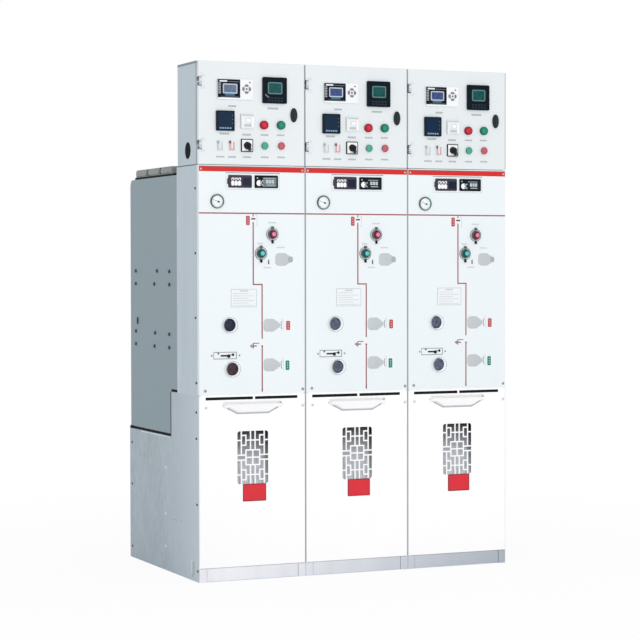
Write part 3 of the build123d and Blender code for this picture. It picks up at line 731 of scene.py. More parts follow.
@dataclass
class DoorDevices(ModulePart):
    """Faces of the devices on a low-voltage door; places count from the door's lower left."""

    shell: float = 0.3
    reach: float = 8.3
    relay: Rect = Rect(75, 212, 236, 310.5)
    relay_screen: Rect = Rect(93, 149, 257, 292.5)
    relay_tick: Pair = (80.5, 258)
    relay_tick_pitch: float = 5.9
    relay_ticks: int = 7
    keys_middle: Pair = (185.5, 275)
    keys_radius: float = 12.6
    controller: Rect = Rect(250.5, 344, 227, 321)
    controller_screen: Rect = Rect(268.5, 325.5, 260, 303.5)
    controller_key: Pair = (273.3, 236)
    controller_key_pitch: Pair = (12.6, 9.5)
    meter: Rect = Rect(69.5, 138.5, 123, 195)
    meter_segment: Rect = Rect(80, 87.2, 129.5, 135)
    meter_segment_pitch: float = 9.6
    counter: Rect = Rect(165, 216, 133, 186)
    counter_window: Rect = Rect(183, 203, 155.5, 168.5)

    def build(self) -> None:
        """Build the four framed devices."""
        self.build_relay()
        self.build_controller()
        self.build_meter()
        self.build_counter()

    def build_relay(self) -> None:
        """White relay with a dark panel, a screen, a column of marks and a ring of keys."""
        top = self.reach
        shape = Shape("relay_case").slab(self.relay.grown(self.shell), 0, top, 4, 1.2)
        shape.use("relay_panel").slab(Rect(74, 160.5, 242.5, 308.5), top - 1, top + 0.6, 2, 0.3)
        shape.use("relay_screen_frame").tray(self.relay_screen, top, top + 1.4, 4, top + 0.9, 3)
        u, v = self.relay_tick
        lit = "relay_screen" if self.number == 1 else "relay_screen_blue"
        shape.plates(top, [
            (lit, self.relay_screen.grown(-4), 0.6, 1.1, 0.8),
            ("relay_strip", Rect(101, 139, 249.5, 255.5), 0.4, 0.8, 2),
            ("pale_mark", Rect(80, 110, 298.5, 304.5), 0.4, 0.8, 1),
            ("line_grey", Rect(114, 156, 299, 301.6), 0.4, 0.8),
            ("line_grey", Rect(88, 156, 244.6, 246.6), 0.4, 0.8),
        ] + [("tick_grey", Rect.about((u, v + tick * self.relay_tick_pitch), 10, 3.2), 0.4, 0.9, 0.8)
             for tick in range(self.relay_ticks)])
        shape.use("relay_key_ring").ring(self.keys_middle, 16, 8, top - 0.2, top + 0.4, 0.2).use("relay_key")
        u, v = self.keys_middle
        for across, up in ((1, 0), (-1, 0), (0, 1), (0, -1)):
            place = (u + across * self.keys_radius, v + up * self.keys_radius)
            wide, tall = (8.5, 13) if across else (13, 8.5)
            shape.slab(Rect.about(place, wide, tall), top - 0.2, top + 1.6, 3.8, 0.6)
        shape.knob(self.keys_middle, 4, top - 0.2, top + 1.2, 0.4)
        shape.use("small_red_mark").knob((198, 299), 3.4, top - 0.1, top + 0.4, 0.1)
        self.door(shape, "relay_face")

    def build_controller(self) -> None:
        """Black controller with a framed screen, a pale arc on the first module that paints a glint, and two
        rows of keys.
        """
        top, screen = self.reach, self.controller_screen
        shape = Shape("controller_case")
        shape.tray(self.controller.grown(self.shell), 0, top + 1.2, 4, top + 0.1, 4, 1)
        shape.use("controller_screen_frame").tray(screen, top - 0.5, top + 1.8, 4.2, top + 0.9, 6)
        shape.use("controller_screen").slab(screen.grown(-4.2), top, top + 1.1, 1.6)
        shape.use("controller_painted_glint")
        # painted glint: a pale arc on the first module only, standing in for a reflection
        if self.number == 1:
            shape.arc((300, 292), 55, 50, top - 0.5, top + 0.8, 219, 22)
        u, v = self.controller_key
        across, up = self.controller_key_pitch
        keys = [(u + column * across, v + row * up) for column in range(5) for row in range(2)]
        shape.plates(top, (("controller_key", Rect.about(key, 8.6, 5.5), -0.2, 1, 1.2, 0.3) for key in keys))
        self.door(shape, "controller_face")

    def build_meter(self) -> None:
        """Dark panel meter with a row of pale segments."""
        top = self.reach
        shape = Shape("meter_case").tray(self.meter.grown(self.shell), 0, top + 1.4, 4.5, top + 0.1, 3, 1)
        shape.use("meter_glass").slab(self.meter.grown(-4.6), top - 0.5, top + 0.5, 1)
        left, right, low, high = self.meter_segment
        shifts = [number * self.meter_segment_pitch for number in range(5)]
        shape.plates(top, [
            *(("meter_segment", Rect(left + s, right + s, low, high), 0, 0.7, 0.8) for s in shifts),
            *(("relay_key", Rect.about((130.5, v), 3, 2.4), 0, 0.7, 0.6) for v in (178, 164, 150)),
        ])
        self.door(shape, "meter_face")

    def build_counter(self) -> None:
        """Pale counter with a dark line, a window and a grey band."""
        top = self.reach
        shape = Shape("counter_case").slab(self.counter.grown(self.shell), 0, top, 3, 0.8)
        shape.use("counter_line").slab(Rect(168, 212, 179, 183), top - 0.2, top + 0.3, 0.6)
        shape.use("counter_band").tray(self.counter_window, top - 0.2, top + 0.8, 1.2, top + 0.3, 1)
        shape.plates(top, [
            ("white_plastic", self.counter_window.grown(-1.2), 0, 0.45),
            ("white_plastic", Rect(206, 212, 139, 174), -0.2, 0.3, 0.8),
            ("counter_band", Rect(176.5, 204, 139, 149), -0.2, 0.4, 1),
            *(("counter_line", Rect.about((181 + column * 6.2, 144), 2.6, 6), 0, 0.55, 0.5)
              for column in range(4)),
        ])
        self.door(shape, "counter_face")


@dataclass
class DoorControls(ModulePart):
    """Lamps, press buttons, test links, rotary switch, lock and caption strips of a door."""

    lamps: tuple[Pair, Pair] = ((255.5, 147), (322.5, 148))
    lamp_radius: float = 15.5
    presses: tuple[Pair, Pair] = ((258.5, 71.5), (324, 72.5))
    press_radius: float = 12.5
    reach: float = 9
    links: tuple[Pair, Pair] = ((84.5, 69), (130, 70))
    link_size: Pair = (20, 38)
    link_wall: float = 4.2
    link_reach: float = 5.3
    switch: Pair = (189, 71.5)
    switch_plate: float = 46
    switch_plate_reach: float = 4.3
    knob_radius: float = 14
    knob_start: float = 4.5
    knob_reach: float = 22
    lever_reach: float = 30
    lever_angle: float = -76
    lock: Pair = (374, 186)
    lock_reach: float = 10.5
    captions: tuple[Rect, ...] = (
        Rect(118, 149, 209, 216), Rect(271, 314, 205, 212), Rect(84, 121, 109, 116),
        Rect(172, 206, 107, 114), Rect(243, 275, 108, 114), Rect(308, 338, 109, 115),
        Rect(70, 103, 26, 32), Rect(116, 147, 26, 32), Rect(174, 206, 26, 32),
        Rect(244, 275, 27, 33), Rect(309, 340, 28, 34),
    )

    def build(self) -> None:
        """Build the controls and captions, and a dark line along the door's free edge that paints its
        shadow.
        """
        self.build_round_controls()
        self.build_links()
        self.build_switch()
        self.build_lock()
        self.door(Shape("caption_strip").blocks(self.captions), "door_captions")
        # painted shadow: a dark line along the door's free edge
        self.door(Shape("joint_strip").slab(Rect(416, 418.6, 3, 371), -0.4, 0.15), "door_edge_shade")

    def build_round_controls(self) -> None:
        """Red and green lamps in dark rims over green and red press buttons in pale rims."""
        radius, reach = self.lamp_radius, self.reach
        for place, colour in zip(self.lamps, ("red", "green")):
            shape = Shape(f"lamp_rim_{colour}").ring(place, radius + 0.3, radius - 1.5, 0, reach + 0.4, 0.7)
            shape.use(f"lamp_lens_{colour}").dome(place, radius - 1.4, reach - 1.5, reach + 4.5)
            self.door(shape, f"lamp_{colour}")
        for place, colour in zip(self.presses, ("green", "red")):
            shape = Shape("press_rim").knob(place, self.press_radius + 0.3, 0, 3, 0.8)
            shape.use(f"press_cap_{colour}").knob(place, self.press_radius, 2, reach + 1, 2, 1.1)
            self.door(shape, f"press_{colour}")

    def build_links(self) -> None:
        """Test links: a pale plate with a channel that is open at the top, and a dark plug."""
        wall, top = self.link_wall, self.link_reach
        for place, name in zip(self.links, ("grey", "red")):
            colour, plug = f"link_{name}", f"link_plug_{name}"
            area = Rect.about(place, *self.link_size)
            left, right, low, high = area.left + 1.25, area.right - 1.25, area.low + 2.5, area.high - 2.5
            shape = Shape("lv_front_white").slab(area.grown(0.3), 0, top, 3, 0.6)
            shape.plates(top, (
                (colour, Rect(left, left + wall, low + wall, high - 4), -0.5, 1.6),
                (colour, Rect(right - wall, right, low + wall, high - 4), -0.5, 1.6),
                (colour, Rect(left, right, low, low + wall), -0.5, 1.6),
                (plug, Rect.about((left + 1, high - 4.5), 7, 11), -0.5, 2.4, 3, 0.8),
            ))
            self.door(shape, f"test_link_{name}")

    def build_switch(self) -> None:
        """Framed switch plate on the door, and the turning knob with its lever."""
        top = self.switch_plate_reach
        area = Rect.about(self.switch, self.switch_plate, self.switch_plate)
        shape = Shape("dark_trim").slab(area.grown(0.3), 0, top - 0.2, 3, 0.4)
        self.door(shape.use("white_plastic").slab(area.grown(-3), top - 1, top + 0.1, 1.5), "switch_plate")
        turn = math.radians(self.lever_angle)
        lever, pointer = ((self.switch[0] + out * math.cos(turn), self.switch[1] + out * math.sin(turn))
                          for out in (8, 15))
        start, reach = self.knob_start, self.knob_reach
        shape = Shape("knob_plastic").turned(self.switch, [
            (0, reach), *rounded_corner(self.knob_radius - 4, reach, 1.6),
            (self.knob_radius - 1.5, start + 3), (self.knob_radius - 0.5, start), (0, start)])
        shape.knob(self.switch, 3, -9, start + 1, 0.2)
        shape.slab(Rect.about(lever, 26, 9), reach - 8, self.lever_reach - 2, 4.4, 1.4, self.lever_angle)
        shape.plates(self.lever_reach, [
            ("knob_lever", Rect.about(pointer, 9, 1.6), -2.6, -1.9, 0, 0, self.lever_angle)])
        self.door(shape, "switch_knob", f"selector_{self.number}", f"selector_knob_{self.number}")

    def build_lock(self) -> None:
        """Oval quarter-turn lock with a raised grip and its neck and cam behind the door."""
        shape = Shape("lock_plastic").knob(self.lock, 13, 0.5, self.lock_reach - 3, 2.4, 2)
        shape.slab(Rect.about(self.lock, 8, 40), self.lock_reach - 4, self.lock_reach, 3.9, 1.5)
        shape.knob(self.lock, 8, -7, 1, 0.2)
        u, v = self.lock
        shape.use("screw_steel").slab(Rect.about((u, v - 6), 14, 26), -10, -7, 3)
        self.door(shape, "lock_grip", f"lock_{self.number}", f"door_lock_{self.number}")


@dataclass
class DoorHinges(ModulePart):
    """Leaves and bushes of a low-voltage door's hinges, and dark marks beside them that paint the shade of
    the hinge gaps.
    """

    levels: Pair = (71, 299.5)
    axis: Pair = (8, -4)
    leaf: Pair = (14, 29)
    leaf_half: float = 27
    leaf_thickness: float = 2.6
    bush_radii: Pair = (5.4, 5.05)
    bush: Pair = (7, 11)
    tick: Pair = (0.8, 2.8)
    tick_span: Pair = (6, 12.5)

    def build(self) -> None:
        """Build the screwed leaves, which move with the door, the bushes, and the dark marks beside them
        that paint the hinge gaps' shade.
        """
        leaves, shade_marks = Shape("lv_front_white"), Shape("dark_trim")
        upper, lower = Shape("hinge_bush"), Shape("hinge_bush")
        for height in self.levels:
            leaf = Rect(*self.leaf, height - self.leaf_half, height + self.leaf_half)
            leaves.use("lv_front_white").slab(leaf, -0.1, self.leaf_thickness, 1.5, 0.8)
            screws = [(21.5, height - 20), (21.5, height + 20)]
            leaves.use("screw_pale").screws(screws, 3, self.leaf_thickness - 0.2, "instrument_frame_pale")
            for side in (-1, 1):
                low, high = sorted(height + side * end for end in self.tick_span)
                # painted shade: dark marks at the door's edge for the hinge gaps
                shade_marks.slab(Rect(*self.tick, low, high), -6, 1.2, 0.8)
            start, end = self.bush
            upper.ring(self.axis, *self.bush_radii, height + start, height + end, 0.1)
            lower.ring(self.axis, *self.bush_radii, height - end, height - start, 0.1)
        self.door(leaves, "hinge_leaves")
        self.door(shade_marks, "hinge_shade_marks", ROOT)
        upper.make(f"hinge_bushes_upper_{self.number}", self.hinge_face, self.door_body)
        lower.make(f"hinge_bushes_lower_{self.number}", self.hinge_face)


@dataclass
class CoverInstruments(ModulePart):
    """Title band, two flat instruments, pressure gauge and sight windows of a mechanism cover."""

    indicator: Rect = Rect(116, 208, 753, 799)
    lamp_start: float = 133.5
    lamp_pitch: float = 13
    monitor: Rect = Rect(219, 311, 753, 799)
    monitor_dial: Pair = (236.5, 771)
    figure_start: float = 268
    figure_pitch: float = 11
    window_reach: float = 2.4
    window_depth: float = 40
    gauge: Pair = (73, 703)
    gauge_radius: float = 26
    dial_radius: float = 21
    gauge_reach: float = 6
    sights: tuple[Pair, Pair] = ((120, 255), (130.5, 95))
    sight_outer: float = 28.5
    sight_inner: float = 27
    sight_front: float = 12.5
    sight_depth: float = 7

    def build(self) -> None:
        """Build all the instruments of the cover."""
        self.build_band()
        self.build_indicator()
        self.build_monitor()
        self.build_gauge()
        self.build_sights()

    def build_band(self) -> None:
        """Red title band with a painted shadow along its top and its end screws, and the thin frame round
        the instruments, whose top line is darker as painted shade.
        """
        shape = Shape("title_band_red").slab(Rect(3.5, 416.5, 811, 828), -0.1, 0.5, 0.6, 0.2)
        # painted shadow: the door above shades the band's top edge
        shape.use("title_band_painted_shadow").slab(Rect(3.5, 416.5, 828, 830.4), -0.1, 0.5)
        shape.use("screw_pale").screws([(11, 819.5), (408.5, 819.5)], 3.4, 0.4, "plate_rule")
        shape.plates(0, (
            # thin frame round the instruments; its top line is darker than the rest as painted shade
            ("instrument_frame_shaded_top", Rect(106, 318, 805.6, 808), -0.1, 0.3),
            ("instrument_frame_pale", Rect(106, 318, 746, 747.8), -0.1, 0.3),
            ("instrument_frame_pale", Rect(106, 107.6, 747.8, 805.6), -0.1, 0.3),
            ("instrument_frame_pale", Rect(316.4, 318, 747.8, 805.6), -0.1, 0.3),
        ))
        self.cover(shape, "title_band")

    def build_indicator(self) -> None:
        """Indicator with three white lamps and a small screen."""
        top = self.window_reach
        shape = Shape("indicator_frame").tray(self.indicator, -0.1, top, 3, top - 0.7, 4, 0.5)
        shape.slab(self.indicator.grown(-3.5), -self.window_depth, 0)
        shape.slab(Rect(112.5, 118.5, 765.5, 787), -0.1, top + 1.4, 2.8, 0.8)
        for u in (self.lamp_start + column * self.lamp_pitch for column in range(3)):
            shape.plates(top, (
                ("white_plastic", Rect.about((u, 769), 12, 17), -1, 0.2, 4, 0.3),
                ("white_plastic", Rect.about((u, 784), 11, 10), -1, 0.2, 4, 0.3),
                ("indicator_lens_shade", Rect.about((u + 3.5, 789), 4, 3), -1, 0.3, 1.4),
            ))
            shape.use("dark_trim").knob((u - 0.5, 783), 3, top - 1, top + 0.5, 0.3)
            shape.knob((u + 5.5, 776.5), 1.8, top - 0.5, top + 0.4, 0.2)
        shape.use("small_red_mark").knob((166.5, 764.5), 2.8, top - 1, top + 0.5, 0.3)
        shape.use("indicator_screen").slab(Rect(172.5, 204, 761, 788.5), top - 1, top - 0.1, 1.5)
        shape.use("controller_key").slab(Rect(172.5, 203, 758, 759.4), top - 1, top - 0.2)
        self.cover(shape, "indicator_face", replaced="instrument_windows")

    def build_monitor(self) -> None:
        """Voltage monitor with a round dial and a display of plain figures."""
        top = self.window_reach
        shape = Shape("monitor_frame").tray(self.monitor, -0.1, top, 3, top - 0.6, 3, 0.5)
        shape.slab(self.monitor.grown(-3.5), -self.window_depth, 0)
        shape.use("white_plastic").knob(self.monitor_dial, 10.6, top - 1, top + 0.2, 0.3)
        shape.use("mid_trim").arc(self.monitor_dial, 9, 5.6, top, top + 0.35, -70, 140)
        shape.use("counter_band").knob((229.5, 789), 2.6, top - 1, top + 0.3, 0.3)
        figures = [(self.figure_start + column * self.figure_pitch, 776.5) for column in range(3)]
        display = "monitor_display_lit" if self.number == 1 else "monitor_display"
        shape.plates(top, [
            (display, Rect(251, 304.5, 757.5, 792), -1, -0.1, 1.5),
            ("monitor_figures", Rect.about((250, 778.5), 3, 5.5), -0.6, 0.1, 0.8),
            ("monitor_figures", Rect.about((250, 764), 3, 5.5), -0.6, 0.1, 0.8),
            *(("monitor_figures", Rect.about(place, 8.5, 12), -0.6, 0, 1.6) for place in figures),
            ("tick_grey", Rect(266, 296, 762.5, 766), -0.6, 0, 1),
            ("tick_grey", Rect(255, 296.5, 787, 789), -0.6, 0, 0.6),
            *(("mid_trim", Rect.about(place, 2.4, 5), -0.4, 0.1, 0.8) for place in figures),
        ])
        self.cover(shape, "monitor_face", replaced="instrument_windows")

    def build_gauge(self) -> None:
        """Round gas pressure gauge with a green stretch, marks and a pointer."""
        top, radius, dial = self.gauge_reach, self.gauge_radius, self.dial_radius
        u, v = self.gauge
        low, high = top - 0.4, top + 0.3
        shape = Shape("gauge_rim").ring(self.gauge, radius, dial, 0, top, 1.4)
        shape.knob(self.gauge, radius - 3.5, -30, 0.5, 0.2)
        shape.use("gauge_green_arc").arc(self.gauge, radius - 1, dial + 0.8, low, high, -30, 95)
        shape.use("gauge_rim_pale").arc(self.gauge, radius - 2.4, dial + 0.4, low, high, -170, 138)
        shape.use("gauge_dial").knob(self.gauge, dial + 0.5, 0.2, top - 2.6, 0.2).use("dial_mark")
        for angle in (-40 + mark * 32.5 for mark in range(9)):
            turn = math.radians(angle)
            place = (u + (dial - 4) * math.cos(turn), v + (dial - 4) * math.sin(turn))
            shape.slab(Rect.about(place, 4.6, 1.2), top - 2.8, top - 2.2, turn=angle)
        shape.plates(top, (("gauge_needle", Rect.about((u - 7, v + 2.6), 20, 1.6), -2, -1.5, 0, 0, -18),
                           ("dark_trim", Rect.about((u + 4.5, v - 1.6), 9, 5), -2, -1.2, 2.2, 0, -18)))
        self.cover(shape, "gauge_face", replaced="pressure_gauges")

    def build_sights(self) -> None:
        """White tubes of the two sight windows, with inner walls that glow as painted light, their thin grey
        rims, and the panes in them, mottled with painted highlights.
        """
        rims, panes = Shape("rim_plastic"), Shape("sight_pane")
        outer, inner, front, depth = self.sight_outer, self.sight_inner, self.sight_front, self.sight_depth
        glasses = ("sight_pane", "sight_pane_plum") if self.number == 1 else ("sight_pane_slate",) * 2
        for place, glass in zip(self.sights, glasses):
            rims.use("rim_plastic").ring(place, outer, inner, 0, front - 1.2, 0.1)
            rims.use("rim_edge").ring(place, outer - 0.1, inner, front - 1.6, front, 0.3)
            # painted light: a glowing inner wall that shows white inside the window
            rims.use("rim_inside_painted_light").ring(place, inner + 0.2, inner - 0.8, 0, front - 0.3, 0.3)
            rims.ring(place, outer, inner - 1, -depth, -2.1, 0.1)
            # painted highlights: the panes' grain makes light blotches on the dark glass
            panes.use(glass).knob(place, inner + 0.5, -depth - 2, -depth + 1, 0.2)
        self.cover(rims, "sight_tubes", replaced="sight_rims")
        self.cover(panes, "sight_glass", replaced="sight_panes")


@dataclass
class MimicDiagram(ModulePart):
    """Painted single-line diagram of a mechanism cover, with its position marks."""

    paint: float = 0.35
    line: float = 4.6
    busbar: float = 660.5
    upper: float = 213.2
    lower: float = 247.6
    mark_pitch: float = 9
    captions: tuple[Rect, ...] = (Rect(273, 304.5, 624.5, 629.5), Rect(230, 253, 549, 554),
                                  Rect(307, 338.5, 534.5, 539.5), Rect(253.5, 285, 460.5, 465.5))

    def build(self) -> None:
        """Build the lines, the earth symbol, the position marks and the bare captions."""
        self.build_lines()
        self.build_marks()

    def column(self, finish: str, u: float, low: float, high: float) -> tuple:
        """Row for an upright stretch of line."""
        return (finish, Rect(u - self.line / 2, u + self.line / 2, low, high), -0.1, self.paint)

    def build_lines(self) -> None:
        """Busbar, break, feeder line with its jog, and the earth branch."""
        half, paint = self.line / 2, self.paint
        shape = Shape("mimic_line").plates(0, (
            ("mimic_line", Rect(2.5, 417.5, self.busbar - half, self.busbar + half), -0.1, paint),
            self.column("mimic_line", self.upper, 404, 629),
            ("mimic_line", Rect(self.upper - half, self.lower + half, 399.5, 404), -0.1, paint),
            self.column("mimic_line", self.lower, 203.5, 399.5),
            self.column("mimic_line", self.lower, 24, 172),
            ("mimic_dark", Rect(206, 222, 638, 643.5), -0.1, paint),
            self.column("mimic_dark", self.lower, 10.5, 24),
            ("mimic_dark", Rect(212, 236, 186, 188.6), -0.1, paint),
            ("mimic_dark", Rect(214, 226, 175.5, 179.5), -0.1, paint),
            *(("mimic_dark", Rect.about((212.5 - step * 5, 177.5), 3.2, 18 - step * 6), -0.1, paint)
              for step in range(3)),
        ))
        shape.use("mimic_line").knob((self.lower, 176), 3.8, -0.1, paint + 0.1, 0.1)
        shape.plates(0, [self.column("mimic_grey", self.upper, 649, self.busbar - half)])
        self.cover(shape, "mimic_lines")

    def build_marks(self) -> None:
        """Red and green position marks with three pale bars, the bracket, the slit and the bare captions."""
        shape = Shape("position_red")
        for area, plate, bar in ((Rect(185.5, 199.5, 618, 651.5), "position_red", "position_mark_red"),
                                 (Rect(343, 358, 234.5, 267.5), "position_red", "position_mark_red"),
                                 (Rect(340.5, 355, 87.5, 122), "position_green", "position_mark_green")):
            shape.use(plate).slab(area, -0.1, 1.2, 3, 0.4).use(bar)
            for step in (-1, 0, 1):
                place = ((area.left + area.right) / 2, (area.low + area.high) / 2 + step * self.mark_pitch)
                shape.slab(Rect.about(place, 5, 4.4), 1, 1.35, 1.2)
        shape.plates(0, (("notice_rule", area, -0.1, 0.3) for area in (
            Rect(227.9, 229.5, 615, 654.5), Rect(222, 227.9, 615, 616.6), Rect(222, 227.9, 652.9, 654.5))))
        for v in (252.5, 107.5):
            shape.plates(0, (
                ("notice_rule", Rect(330.5, 332, v - 22, v + 22), -0.1, 0.3),
                ("notice_rule", Rect(324, 330.5, v + 20.5, v + 22), -0.1, 0.3),
                ("plate_rule", Rect(322, 324.4, v - 11, v + 11), -0.1, 0.4),
                ("plate_rule", Rect.about((324.6, v - 12.6), 6, 2.2), -0.1, 0.4, 0, 0, -38),
                ("plate_rule", Rect.about((324.6, v + 12.6), 6, 2.2), -0.1, 0.4, 0, 0, 38),
            ))
        shape.use("notice_rule").blocks(self.captions)
        shape.plates(0, (("mid_trim", Rect(271.4, 276.2, 475.5, 492), -0.1, 0.5, 1),
                         ("dark_trim", Rect(272.2, 276, 475.5, 482), 0.3, 0.8, 1)))
        self.cover(shape, "position_marks")


@dataclass
class PushButtons(ModulePart):
    """The two mechanical push buttons of a cover: ring, collar, hasp, pin and cap."""

    off_place: Pair = (288.5, 585)
    on_place: Pair = (243.5, 515)
    ring_radius: float = 24
    ring_inner: float = 21.4
    collar_radius: float = 15.5
    collar_reach: float = 15
    bore_radius: float = 10.4
    cap_radius: float = 10
    cap_reach: float = 19
    cap_back: float = 7.5

    def build(self) -> None:
        """Build both bezels and both caps."""
        self.build_button("off", self.off_place, "off_button_cap", "off_button_cap_shade", "off_button_collar")
        self.build_button("on", self.on_place, "on_button_cap", "on_button_cap_shade", "on_button_collar")

    def build_button(self, name: str, place: Pair, cap: str, rim: str, collar: str) -> None:
        """Build one button.

        Args:
            name: on or off.
            place: its middle on the cover.
            cap: finish of the cap's front.
            rim: finish of the cap's side and outer front, darker than its middle as painted shade of the
                flank.
            collar: finish of the collar's front.
        """
        u, v = place
        radius, reach = self.collar_radius, self.collar_reach
        shape = Shape("button_collar").slab(Rect.about(place, 24, 24), -17, 1)
        shape.ring(place, radius + 3.4, radius - 0.2, 0, 7, 1, 1.2)
        shape.use("button_ring_edge").ring(place, radius, self.bore_radius, 0, reach - 7, 0.1)
        shape.use(collar).ring(place, radius - 0.5, self.bore_radius, reach - 7.4, reach, 1.4, 1.6)
        shape.use("button_ring").ring(place, self.ring_inner + 0.2, radius + 3, 0, 1.6, 0.3)
        shape.use("button_ring_edge").ring(place, self.ring_radius, self.ring_inner, 0, 3, 1)
        shape.use("button_hasp").slab(Rect.about((u, v + self.ring_radius), 9, 9), 0, 8, 1.5, 1)
        shape.use("dark_trim").slab(Rect.about((u, v - self.ring_radius - 3), 7, 14), 0, 7, 3.4, 1.2, 8)
        self.cover(shape, f"{name}_button_bezel", replaced="button_bezels")
        # painted shade: the cap's side and outer front are darker than its pale middle
        shape = Shape(cap).use(rim).knob(place, self.cap_radius, self.cap_back, self.cap_reach - 0.6, 1.8)
        shape.slab(Rect.about(place, 7, 7), -19, self.cap_back + 1)
        shape.use(cap).knob(place, self.cap_radius - 2.2, self.cap_reach - 3, self.cap_reach, 1.2)
        self.cover(shape, f"{name}_button_cap", f"{name}_button_{self.number}",
                   f"push_button_{name}_{self.number}")


@dataclass
class CoverTrim(ModulePart):
    """Notice plate, slot plate, shutter fields and screws of a mechanism cover."""

    notice: Rect = Rect(126, 226, 320, 385)
    rule_start: float = 369
    rule_pitch: float = 8.6
    slot_plate: Rect = Rect(56, 148.5, 132, 157.5)
    shutters: tuple[Pair, ...] = ((326, 493), (279, 252.5), (279, 107.5))
    screws: tuple[Pair, ...] = ((25.5, 17.7), (409, 16.2))

    def build(self) -> None:
        """Build the plates, fields and screws."""
        self.build_notice()
        self.build_slot_plate()
        self.build_shutter_fields()
        self.cover(Shape("screw_steel").screws(self.screws, 6, -0.6, "relay_key"), "cover_screws")

    def build_notice(self) -> None:
        """Bare notice plate with plain rules."""
        left, right, _, high = self.notice
        shape = Shape("plate_rule").slab(self.notice, -0.1, 0.5, 1.5)
        shape.use("notice_plate").slab(self.notice.grown(-1), 0, 0.6, 1)
        shape.use("notice_rule").slab(Rect(left + 34, right - 34, high - 9, high - 4), 0.4, 0.75, 1)
        for row in range(6):
            v = self.rule_start - row * self.rule_pitch
            shape.slab(Rect(left + 7, right - (10 if row % 2 else 32), v - 1, v + 1), 0.4, 0.75)
        self.cover(shape, "notice_plate")

    def build_slot_plate(self) -> None:
        """Slot plate with two rules, a black slit and its latch, dots and end screws."""
        left, right, low, high = self.slot_plate.grown(-1)
        shape = Shape("notice_plate").slab(self.slot_plate, -0.1, 0.9, 1.5, 0.3)
        shape.plates(0, (
            ("plate_rule", Rect(left, right, low - 1.3, low + 1.3), 0.5, 1.1),
            ("plate_rule", Rect(left, right, high - 1.3, high + 1.3), 0.5, 1.1),
            ("plate_rule", Rect(left, left + 2, low + 1.3, high - 1.3), 0.5, 1.1),
            ("mid_trim", Rect(right - 2.4, right, low + 1.3, high - 1.3), 0.5, 1.1),
            ("dark_trim", Rect(84.5, 122, 141, 147), 0.4, 1.2, 1.8),
        ))
        shape.knob((116, 142.5), 6.4, 0.4, 2.6, 0.6).knob((133, 147.5), 4.8, 0.4, 2.2, 0.4)
        shape.use("mid_trim").slab(Rect(120, 132, 145.6, 148.6), 0.4, 1.1)
        shape.knob((75.7, 152.4), 3.6, 0.4, 1.6, 0.3)
        shape.use("screw_steel").screws([(50.5, 144.5), (158.5, 144.5)], 3.7, 0, "dark_trim")
        self.cover(shape, "slot_plate")

    def build_shutter_fields(self) -> None:
        """Pressed shutter plates: their rounded fields, the tail cap of the upper one and the necks."""
        shape = Shape("shutter_plate")
        for u, v in self.shutters:
            shape.slab(Rect(u - 26, u + 24, v - 23.5, v + 23.5), -0.4, 0.5, 14, 0.3)
            shape.slab(Rect(u + 14, u + 32, v - 16, v + 16), -0.4, 0.4, 8)
        (u, v), *others = self.shutters
        shape.use("shutter_tongue").slab(Rect(u + 26, u + 44, v - 11, v + 11), -0.3, 0.8, 8, 0.4)
        shape.use("shutter_neck")
        for u, v in others:
            shape.slab(Rect(u + 24, u + 40, v - 9, v + 9), -0.3, 0.7, 6, 0.3)
        self.cover(shape, "shutter_fields")


@dataclass
class CableDoorTrim(ModulePart):
    """Lintel and a black sheet behind the hand notches that paints their shade, red plate, screws and the
    painted shadow under the pull scoop of a cable door.
    """

    lintel: Rect = Rect(8, 412, 670, 677.8)
    scoop_back: Rect = Rect(80, 340, 600, 655)
    notch_shade_area: Rect = Rect(10, 410, 655, 672)
    plate: Rect = Rect(170.5, 262, 287, 351)
    screws: tuple[Pair, ...] = ((28.5, 632), (408.5, 632))
    scoop_foot: tuple[Pair, ...] = (
        (92, 640), (114.5, 626.5), (149, 609.3), (271, 609.3), (305.5, 626.5), (328, 640),
    )
    scoop_shadow_width: float = 5.4

    def build(self) -> None:
        """Build the trim, and the soft grey line of painted shadow along the foot of the pull scoop."""
        lintel = Shape("cable_door_white").slab(self.lintel, -2.4, -0.4).slab(self.scoop_back, -8, -5)
        self.cable_door(lintel, "notch_lintel")
        # painted shade: a black sheet behind the notches makes them read dark
        self.cable_door(Shape("seal_rubber").slab(self.notch_shade_area, -8, -5), "notch_shade_sheet")
        shape = Shape("red_plate_border").slab(self.plate, -0.1, 0.9, 3, 0.3)
        self.cable_door(shape.use("red_plate").slab(self.plate.grown(-3.6), 0.5, 1.1, 1.5), "red_plate")
        shape = Shape("screw_pale").screws(self.screws, 6, -0.6, "instrument_frame_pale")
        self.cable_door(shape, "cable_door_screws")
        # painted shadow: a grey line along the scoop's foot
        shape = Shape("scoop_painted_shadow")
        for start, end in zip(self.scoop_foot, self.scoop_foot[1:]):
            run, middle = Vector(end) - Vector(start), (Vector(start) + Vector(end)) / 2
            shape.slab(Rect.about(middle.to_tuple(), run.length + 1, self.scoop_shadow_width), -0.2, 0.3,
                       turn=math.degrees(math.atan2(run.y, run.x)))
        self.cable_door(shape, "scoop_painted_shadow")


@dataclass
class RowJoints:
    """Grey joint strips between the covers and the cable doors of neighbouring modules."""

    half: float = 2.5
    levels: tuple[Pair, Pair] = ((678, 1508), (52, 674))

    def build(self) -> None:
        """Build the strips at each joint of the row."""
        for number in range(2, MODULE_COUNT + 1):
            shape = Shape("joint_strip")
            for low, high in self.levels:
                shape.slab(Rect(-self.half, self.half, low, high), -3, 0.25)
            shape.make(f"joint_strip_{number - 1}", ModulePart(number).cable_face)


